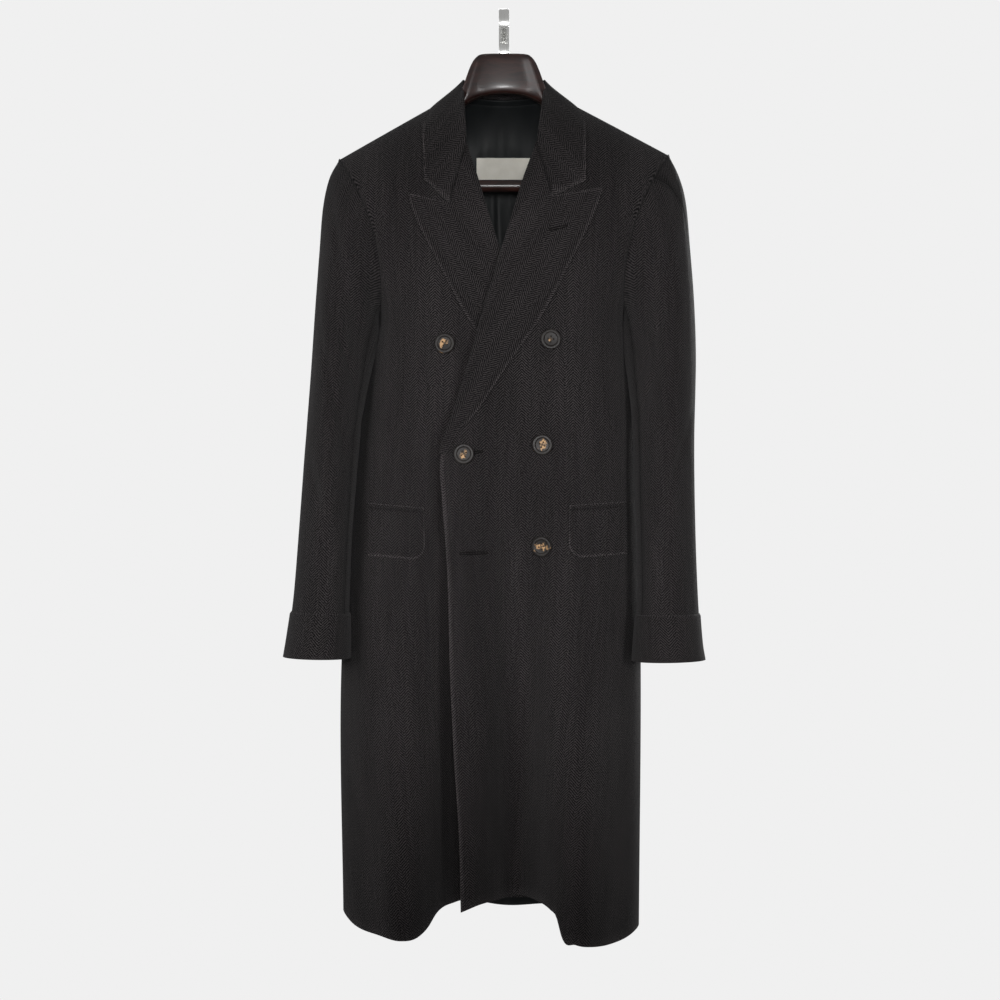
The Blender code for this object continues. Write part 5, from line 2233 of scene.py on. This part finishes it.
@dataclass
class Hanger:
    """The wooden hanger with its scooped head and its bar, and the strap hook."""

    rows: tuple[HangerRow, ...] = (
        HangerRow(0, -57, 0, -111, 8.0, 15.5),
        HangerRow(13, -57, 21, -113, 8.8, 15.5),
        HangerRow(24, -57.5, 39.5, -119, 11.2, 15.5),
        HangerRow(32, -59, 53, -128.5, 16.0, 15.5),
        HangerRow(36, -61, 57, -132, 15.4, 15),
        HangerRow(43, -68, 62, -137.5, 12.4, 14.5),
        HangerRow(49, -84, 67, -142, 12.4, 14),
        HangerRow(56, -108, 73, -147, 13.5, 14),
        HangerRow(66, -123, 82, -154, 14.5, 15),
        HangerRow(90, -138, 94, -161, 16, 16),
        HangerRow(130, -160, 130, -187, 18, 18),
        HangerRow(165, -180, 165, -217, 20, 20),
        HangerRow(188, -194, 188, -255, 19, 19),
        HangerRow(202, -206, 202, -256, 15, 15),
        HangerRow(207, -216, 207, -248, 9, 9),
    )
    corner: float = 0.2
    bar_z: float = -237.5
    bar_radius: float = 8.2
    bar_half: float = 192.0
    hook_radius: float = 18.5
    hook_middle: float = -17.0
    hook_size: tuple[float, float] = (14.0, 3.0)
    hook_foot: float = -57.6
    hook_arc: float = 255.0

    def start_section(self, name: str) -> Bench:
        """A section with rounded corners at the first row, facing outwards.

        Args:
            name: Name of the piece.

        Returns:
            The bench, left in edit mode.
        """
        bpy.ops.mesh.primitive_plane_add(size=1.0, rotation=(0.0, math.pi / 2, 0.0))
        bench = Bench(name, Lacquer())
        bpy.ops.object.mode_set(mode="EDIT")
        bpy.ops.mesh.select_all(action="SELECT")
        bpy.ops.mesh.bevel(offset=self.corner, segments=2, affect="VERTICES")
        bpy.ops.mesh.select_all(action="SELECT")
        first = self.rows[0]
        bpy.ops.transform.resize(value=(1.0, (first.front + first.back) * MM, first.length * MM))
        bpy.ops.transform.translate(value=first.middle)
        return bench

    def body(self) -> Piece:
        """Extrude half of the hanger section by section, mirror it and smooth it.

        Returns:
            The piece.
        """
        bench = self.start_section("hanger_wood")
        for near, far in zip(self.rows, self.rows[1:]):
            bpy.ops.mesh.extrude_region_move(TRANSFORM_OT_translate={"value": far.middle - near.middle})
            longer = far.length / near.length
            deeper = (far.front + far.back) / (near.front + near.back)
            bpy.ops.transform.resize(value=(longer, deeper, longer), center_override=far.middle)
            turn = far.slant - near.slant
            if abs(turn) > 0.001:
                bpy.ops.transform.rotate(value=turn, orient_axis="Y", center_override=far.middle)
        bench.pick(lambda middle, normal: abs(middle.x) < 0.1 * MM)
        bpy.ops.mesh.delete(type="FACE")
        bench.leave()
        other_half = bench.obj.modifiers.new("other_half", "MIRROR")
        other_half.use_axis = (True, False, False)
        other_half.merge_threshold = 0.2 * MM
        rounded = bench.obj.modifiers.new("rounded", "SUBSURF")
        rounded.levels = 3
        rounded.render_levels = 3
        apply_modifiers(bench.obj)
        bpy.ops.object.mode_set(mode="EDIT")
        bpy.ops.mesh.select_all(action="SELECT")
        bpy.ops.mesh.normals_make_consistent(inside=False)
        bench.leave()
        return bench.smooth(180.0)

    def bar(self) -> Piece:
        """A round bar with rounded ends.

        Returns:
            The piece.
        """
        bpy.ops.mesh.primitive_cylinder_add(
            vertices=40, radius=self.bar_radius * MM, depth=2 * self.bar_half * MM,
            location=(0.0, 0.0, self.bar_z * MM), rotation=(0.0, math.pi / 2, 0.0),
        )
        bench = Bench("hanger_bar_wood", Lacquer())
        bench.bevel_sharp(0.8, 3)
        return bench.smooth()

    def hook(self) -> Piece:
        """Extrude the strap up its stem and spin it round the rail.

        Returns:
            The piece.
        """
        bpy.ops.mesh.primitive_plane_add(size=1.0, location=(0.0, 0.0, self.hook_foot * MM))
        bench = Bench("hook_strap", Chrome())
        bpy.ops.object.mode_set(mode="EDIT")
        bpy.ops.mesh.select_all(action="SELECT")
        width, thickness = (size * MM for size in self.hook_size)
        foot = Vector((0.0, 0.0, self.hook_foot * MM))
        bpy.ops.transform.resize(value=(width, thickness, 1.0), center_override=foot)
        start = math.radians(-50.0)
        arc_y = self.hook_radius * math.cos(start)
        arc_z = self.hook_radius * math.sin(start) + self.hook_middle
        stem = (
            (0.0, -48.0, 14.0),
            (0.25 * arc_y, arc_z - 9.5, 18.0),
            (0.62 * arc_y, arc_z - 4.6, 12.0),
            (arc_y, arc_z, 6.0),
        )
        place = foot
        for y, z, turn in stem:
            there = Vector((0.0, y, z)) * MM
            bpy.ops.mesh.extrude_region_move(TRANSFORM_OT_translate={"value": there - place})
            bpy.ops.transform.rotate(value=math.radians(turn), orient_axis="X", center_override=there)
            place = there
        middle = (0.0, 0.0, self.hook_middle * MM)
        bpy.ops.mesh.spin(steps=30, angle=-math.radians(self.hook_arc), center=middle, axis=(1.0, 0.0, 0.0))
        bpy.ops.mesh.select_all(action="SELECT")
        bpy.ops.mesh.remove_doubles(threshold=0.01 * MM)
        bpy.ops.mesh.normals_make_consistent(inside=False)
        bench.leave()
        bench.bevel_sharp(0.6, 3)
        return bench.smooth()

    def build(self) -> None:
        """Make the hanger, its bar and its hook."""
        register(self.body(), Slot.WOOD, "hanger_body")
        register(self.bar(), Slot.WOOD, "hanger_bar")
        register(self.hook(), Slot.CHROME, "hanger_hook")


class Border(Enum):
    """A border of a grid of points."""

    FIRST_COLUMN = "first column"
    LAST_COLUMN = "last column"
    FIRST_ROW = "first row"
    LAST_ROW = "last row"

    def inwards(self, points: Array) -> Array:
        """The grid turned so that each row runs inwards from this border.

        Args:
            points: The grid.

        Returns:
            The turned grid.
        """
        if self is Border.FIRST_COLUMN:
            return points
        if self is Border.LAST_COLUMN:
            return points[:, ::-1]
        rows = points if self is Border.FIRST_ROW else points[::-1]
        return rows.transpose(1, 0, 2)


class Hole(NamedTuple):
    """Ends of a worked buttonhole on one cloth piece, and how far it lies off the front."""

    side: SideForm
    x: float
    z: float
    end_x: float
    end_z: float
    lift: float


@dataclass
class Sewing:
    """Prick stitches along the edges, and the worked buttonholes."""

    front: FrontPanel
    inset: float = 6.5
    spacing: float = 5.2
    length: float = 2.6
    width: float = 0.75
    height: float = 0.5
    lift: float = 0.1
    margin: float = 7.0
    slit_half: float = 1.5
    bead: float = 0.8
    spread: float = 1.4
    holes: tuple[Hole, ...] = (
        Hole(LEFT, 60, -309, 83, -303, 4.7),
        Hole(LEFT, -66, -605, -28, -601, 0.5),
        Hole(LEFT, -58, -735, -22, -734, 0.5),
    )

    def seam(self, points: Array, border: Border, inset: float) -> tuple[Array, Array]:
        """A line beside a border and the cloth's facing along it.

        Args:
            points: Grid of a cloth piece.
            border: Border to follow.
            inset: Distance from the border.

        Returns:
            Points along the line and the outward normals there.
        """
        grid = border.inwards(points)
        run = arc(grid, 1) / MM
        line, inner = (
            np.array([[np.interp(at, far, row[:, i]) for i in range(3)] for far, row in zip(run, grid)])
            for at in (inset, inset + 2)
        )
        facing = unit(np.cross(np.gradient(line, axis=0), inner - line))
        outward = line * np.array([1.0, 1.0, 0.0])
        flip = np.sign(np.sum(facing * outward, axis=1, keepdims=True))
        return line, facing * np.where(flip == 0, 1.0, flip)

    def stitch_model(self) -> bpy.types.Mesh:
        """One stitch: a small drawn-out bead.

        Returns:
            The mesh.
        """
        bpy.ops.mesh.primitive_ico_sphere_add(subdivisions=1, radius=0.5)
        bead = bpy.context.object
        bead.scale = (self.length, self.width, self.height)
        select_only(bead)
        bpy.ops.object.transform_apply(location=False, rotation=False, scale=True)
        mesh = bead.data
        bpy.data.objects.remove(bead, do_unlink=True)
        return mesh

    def stitches(self, seams: Sequence[tuple[Array, Array]]) -> None:
        """Set stitches along seams as one piece.

        Args:
            seams: Lines with their facings.
        """
        model = self.stitch_model()
        shape = np.array([vertex.co[:] for vertex in model.vertices])
        corners = np.array([face.vertices[:] for face in model.polygons])
        places = []
        faces = []
        for line, facing in seams:
            run = np.concatenate([[0.0], np.cumsum(np.linalg.norm(np.diff(line, axis=0), axis=1))])
            at = np.arange(self.margin, run[-1] - self.margin, self.spacing)
            spots, fronts = (
                np.stack([np.interp(at, run, part[:, i]) for i in range(3)], 1) for part in (line, facing)
            )
            along = unit(np.gradient(spots, axis=0))
            aside = np.cross(fronts, along)
            for spot, a, b, c in zip(spots, along, aside, fronts):
                faces.append(corners + len(places) * len(shape))
                places.append(spot + shape @ np.stack([a, b, c]) + c * self.lift)
        mesh = bpy.data.meshes.new("prick_stitches")
        mesh.from_pydata((np.concatenate(places) * MM).tolist(), [], np.concatenate(faces).tolist())
        mesh.materials.append(Thread().material())
        obj = bpy.data.objects.new(mesh.name, mesh)
        bpy.context.scene.collection.objects.link(obj)
        select_only(obj)
        bpy.ops.object.shade_smooth()
        register(obj, Slot.WOOL)

    def buttonhole(self, number: int, hole: Hole) -> None:
        """Stretch a ring of thread into a worked slit that follows the cloth.

        Args:
            number: Number of the buttonhole, for its name.
            hole: Where it lies.
        """
        bpy.ops.mesh.primitive_torus_add(
            major_radius=self.slit_half * MM, minor_radius=self.bead * MM,
            major_segments=72, minor_segments=10,
        )
        bench = Bench("buttonhole_%d" % number, Thread())
        mesh = bench.obj.data
        ring = np.array([vertex.co[:] for vertex in mesh.vertices]) / MM
        across, rise = hole.end_x - hole.x, hole.end_z - hole.z
        length = math.hypot(across, rise)
        cosine = ring[:, 0] / np.hypot(ring[:, 0], ring[:, 1])
        along = ring[:, 0] + (length / 2 - self.slit_half) * np.clip(self.spread * cosine, -1.0, 1.0)
        x = (hole.x + hole.end_x) / 2 + (along * across - ring[:, 1] * rise) / length
        z = (hole.z + hole.end_z) / 2 + (along * rise + ring[:, 1] * across) / length
        laid = BODY.on_front(x, z, hole.side, hole.lift + ring[:, 2]) * MM
        mesh.vertices.foreach_set("co", laid.ravel())
        register(bench.smooth(60.0), Slot.WOOL)

    def build(self) -> None:
        """Sew the edges of both sides and work the buttonholes."""
        seams = []
        collar = Collar().fall()[0]
        seams.append(self.seam(collar, Border.LAST_COLUMN, self.inset))
        for side in SIDES:
            lapel = Lapel(side).points()
            seams.append(self.seam(lapel, Border.LAST_COLUMN, self.inset))
            flap = PocketSet(side).flap()
            seams.append(self.seam(flap, Border.LAST_ROW, self.inset))
        front = self.front.points()
        below = front[front[:, 0, 2] < ROLL_END_Z]
        seams.append(self.seam(below, Border.FIRST_COLUMN, self.inset))
        self.stitches(seams)
        for number, hole in enumerate(self.holes, 1):
            self.buttonhole(number, hole)


@dataclass
class Studio:
    """A pale floor, soft light and the camera straight in front."""

    floor_z: float = -1.9
    floor_size: float = 4.2
    camera_place: tuple[float, float, float] = (-0.0054, -3.0, -0.6646)
    lens: float = 79.4
    backdrop: Colour = (0.871, 0.871, 0.871, 1.0)
    glow: float = 0.1
    mirrored: float = 0.45
    aim_z: float = -0.47
    spot_soft: float = 0.2

    def floor(self) -> None:
        """Lay the floor well under the coat; its paint glows faintly as painted light."""
        bpy.ops.mesh.primitive_plane_add(size=self.floor_size, location=(0.0, 0.0, self.floor_z))
        plane = bpy.context.object
        plane.name = "studio_floor"
        plane.data.materials.append(GlowingFloorPaint().material())

    def lights(self) -> None:
        """Hang three spots in front, two behind, and wide weak lamps at the sides and behind."""
        lamps = (
            ("side", (-1.7, -2.0, 0.0), 1.0, 12.0),
            ("low", (0.3, -2.9, -0.9), 0.8, 2.0),
            ("rear", (0.0, 2.8, 0.6), 2.0, 30.0),
            ("beside_right", (2.6, 0.6, 0.2), 1.2, 13.0),
            ("beside_left", (-2.6, 0.6, 0.2), 1.2, 13.0),
        )
        for name, place, size, power in lamps:
            lamp = bpy.data.lights.new(name, "AREA")
            lamp.shape = "DISK"
            lamp.size = size
            lamp.energy = power
            self.hang(lamp, place, self.aim_z)
        spots = (
            ("right", (1.15, -2.3, -0.6), -0.64, 30.5, 106.0),
            ("left", (-1.1, -2.2, -0.5), -0.64, 31.8, 75.0),
            ("middle", (0.03, -2.9, -0.4), -0.47, 38.0, 145.0),
            ("behind_right", (1.5, 2.2, 0.2), -0.47, 44.0, 210.0),
            ("behind_left", (-0.7, 2.6, -0.1), -0.47, 44.0, 60.0),
        )
        for name, place, aim_z, cone, power in spots:
            spot = bpy.data.lights.new(name, "SPOT")
            spot.energy = power
            spot.spot_size = math.radians(cone)
            spot.spot_blend = 1.0
            spot.shadow_soft_size = self.spot_soft
            self.hang(spot, place, aim_z)

    def hang(self, lamp: bpy.types.Light, place: tuple[float, float, float], aim_z: float) -> None:
        """Put a lamp at a place and point it at a height on the coat's middle.

        Args:
            lamp: The lamp.
            place: Where it hangs.
            aim_z: Height that it points at.
        """
        holder = bpy.data.objects.new(lamp.name, lamp)
        facing = (Vector((0.0, 0.0, aim_z)) - Vector(place)).to_track_quat("-Z", "Y")
        holder.matrix_world = Matrix.Translation(place) @ facing.to_matrix().to_4x4()
        bpy.context.scene.collection.objects.link(holder)

    def world(self) -> None:
        """Fill the background with the pale backdrop."""
        scene = bpy.context.scene
        scene.world = scene.world or bpy.data.worlds.new("studio")
        scene.world.use_nodes = True
        background = scene.world.node_tree.nodes["Background"]
        background.inputs["Color"].default_value = self.backdrop
        desk = NodeDesk(scene.world.node_tree)
        path = desk.add("ShaderNodeLightPath").outputs
        mirrored = desk.math("MULTIPLY_ADD", path["Is Glossy Ray"], self.mirrored - self.glow, self.glow)
        strength = desk.math("MAXIMUM", path["Is Camera Ray"], mirrored)
        desk.put(background.inputs["Strength"], strength)
        scene.view_settings.view_transform = "Standard"

    def camera(self) -> None:
        """Stand the camera in front at the coat's middle height."""
        data = bpy.data.cameras.new("front_camera")
        data.lens = self.lens
        data.sensor_width = 36.0
        holder = bpy.data.objects.new("front_camera", data)
        holder.matrix_world = Matrix.Translation(self.camera_place) @ Matrix.Rotation(math.pi / 2, 4, "X")
        bpy.context.scene.collection.objects.link(holder)
        bpy.context.scene.camera = holder

    def build(self) -> None:
        """Set up everything round the coat."""
        self.floor()
        self.lights()
        self.world()
        self.camera()


def main() -> None:
    """Dress the coat piece by piece."""
    logging.basicConfig(level=logging.INFO, format="%(message)s")
    FrontPanel(RIGHT, flat=(0.4, 1.11), area=0.345).build()
    front_left = FrontPanel(LEFT, flat=(0.39, 1.12), area=0.333)
    front_left.build()
    BackPanel().build()
    for side in SIDES:
        Lapel(side).build()
    Collar().build()
    Sleeve(RIGHT, (0.165, 0.63), 0.092, (0.15, 0.6), 0.081).build()
    Sleeve(LEFT, (0.14, 0.63), 0.076, (0.19, 0.63), 0.106).build()
    for side in SIDES:
        PocketSet(side).build()
    NeckInside().build()
    Buttons().build()
    Hanger().build()
    Sewing(front_left).build()
    Studio().build()


if __name__ == "__main__":
    main()
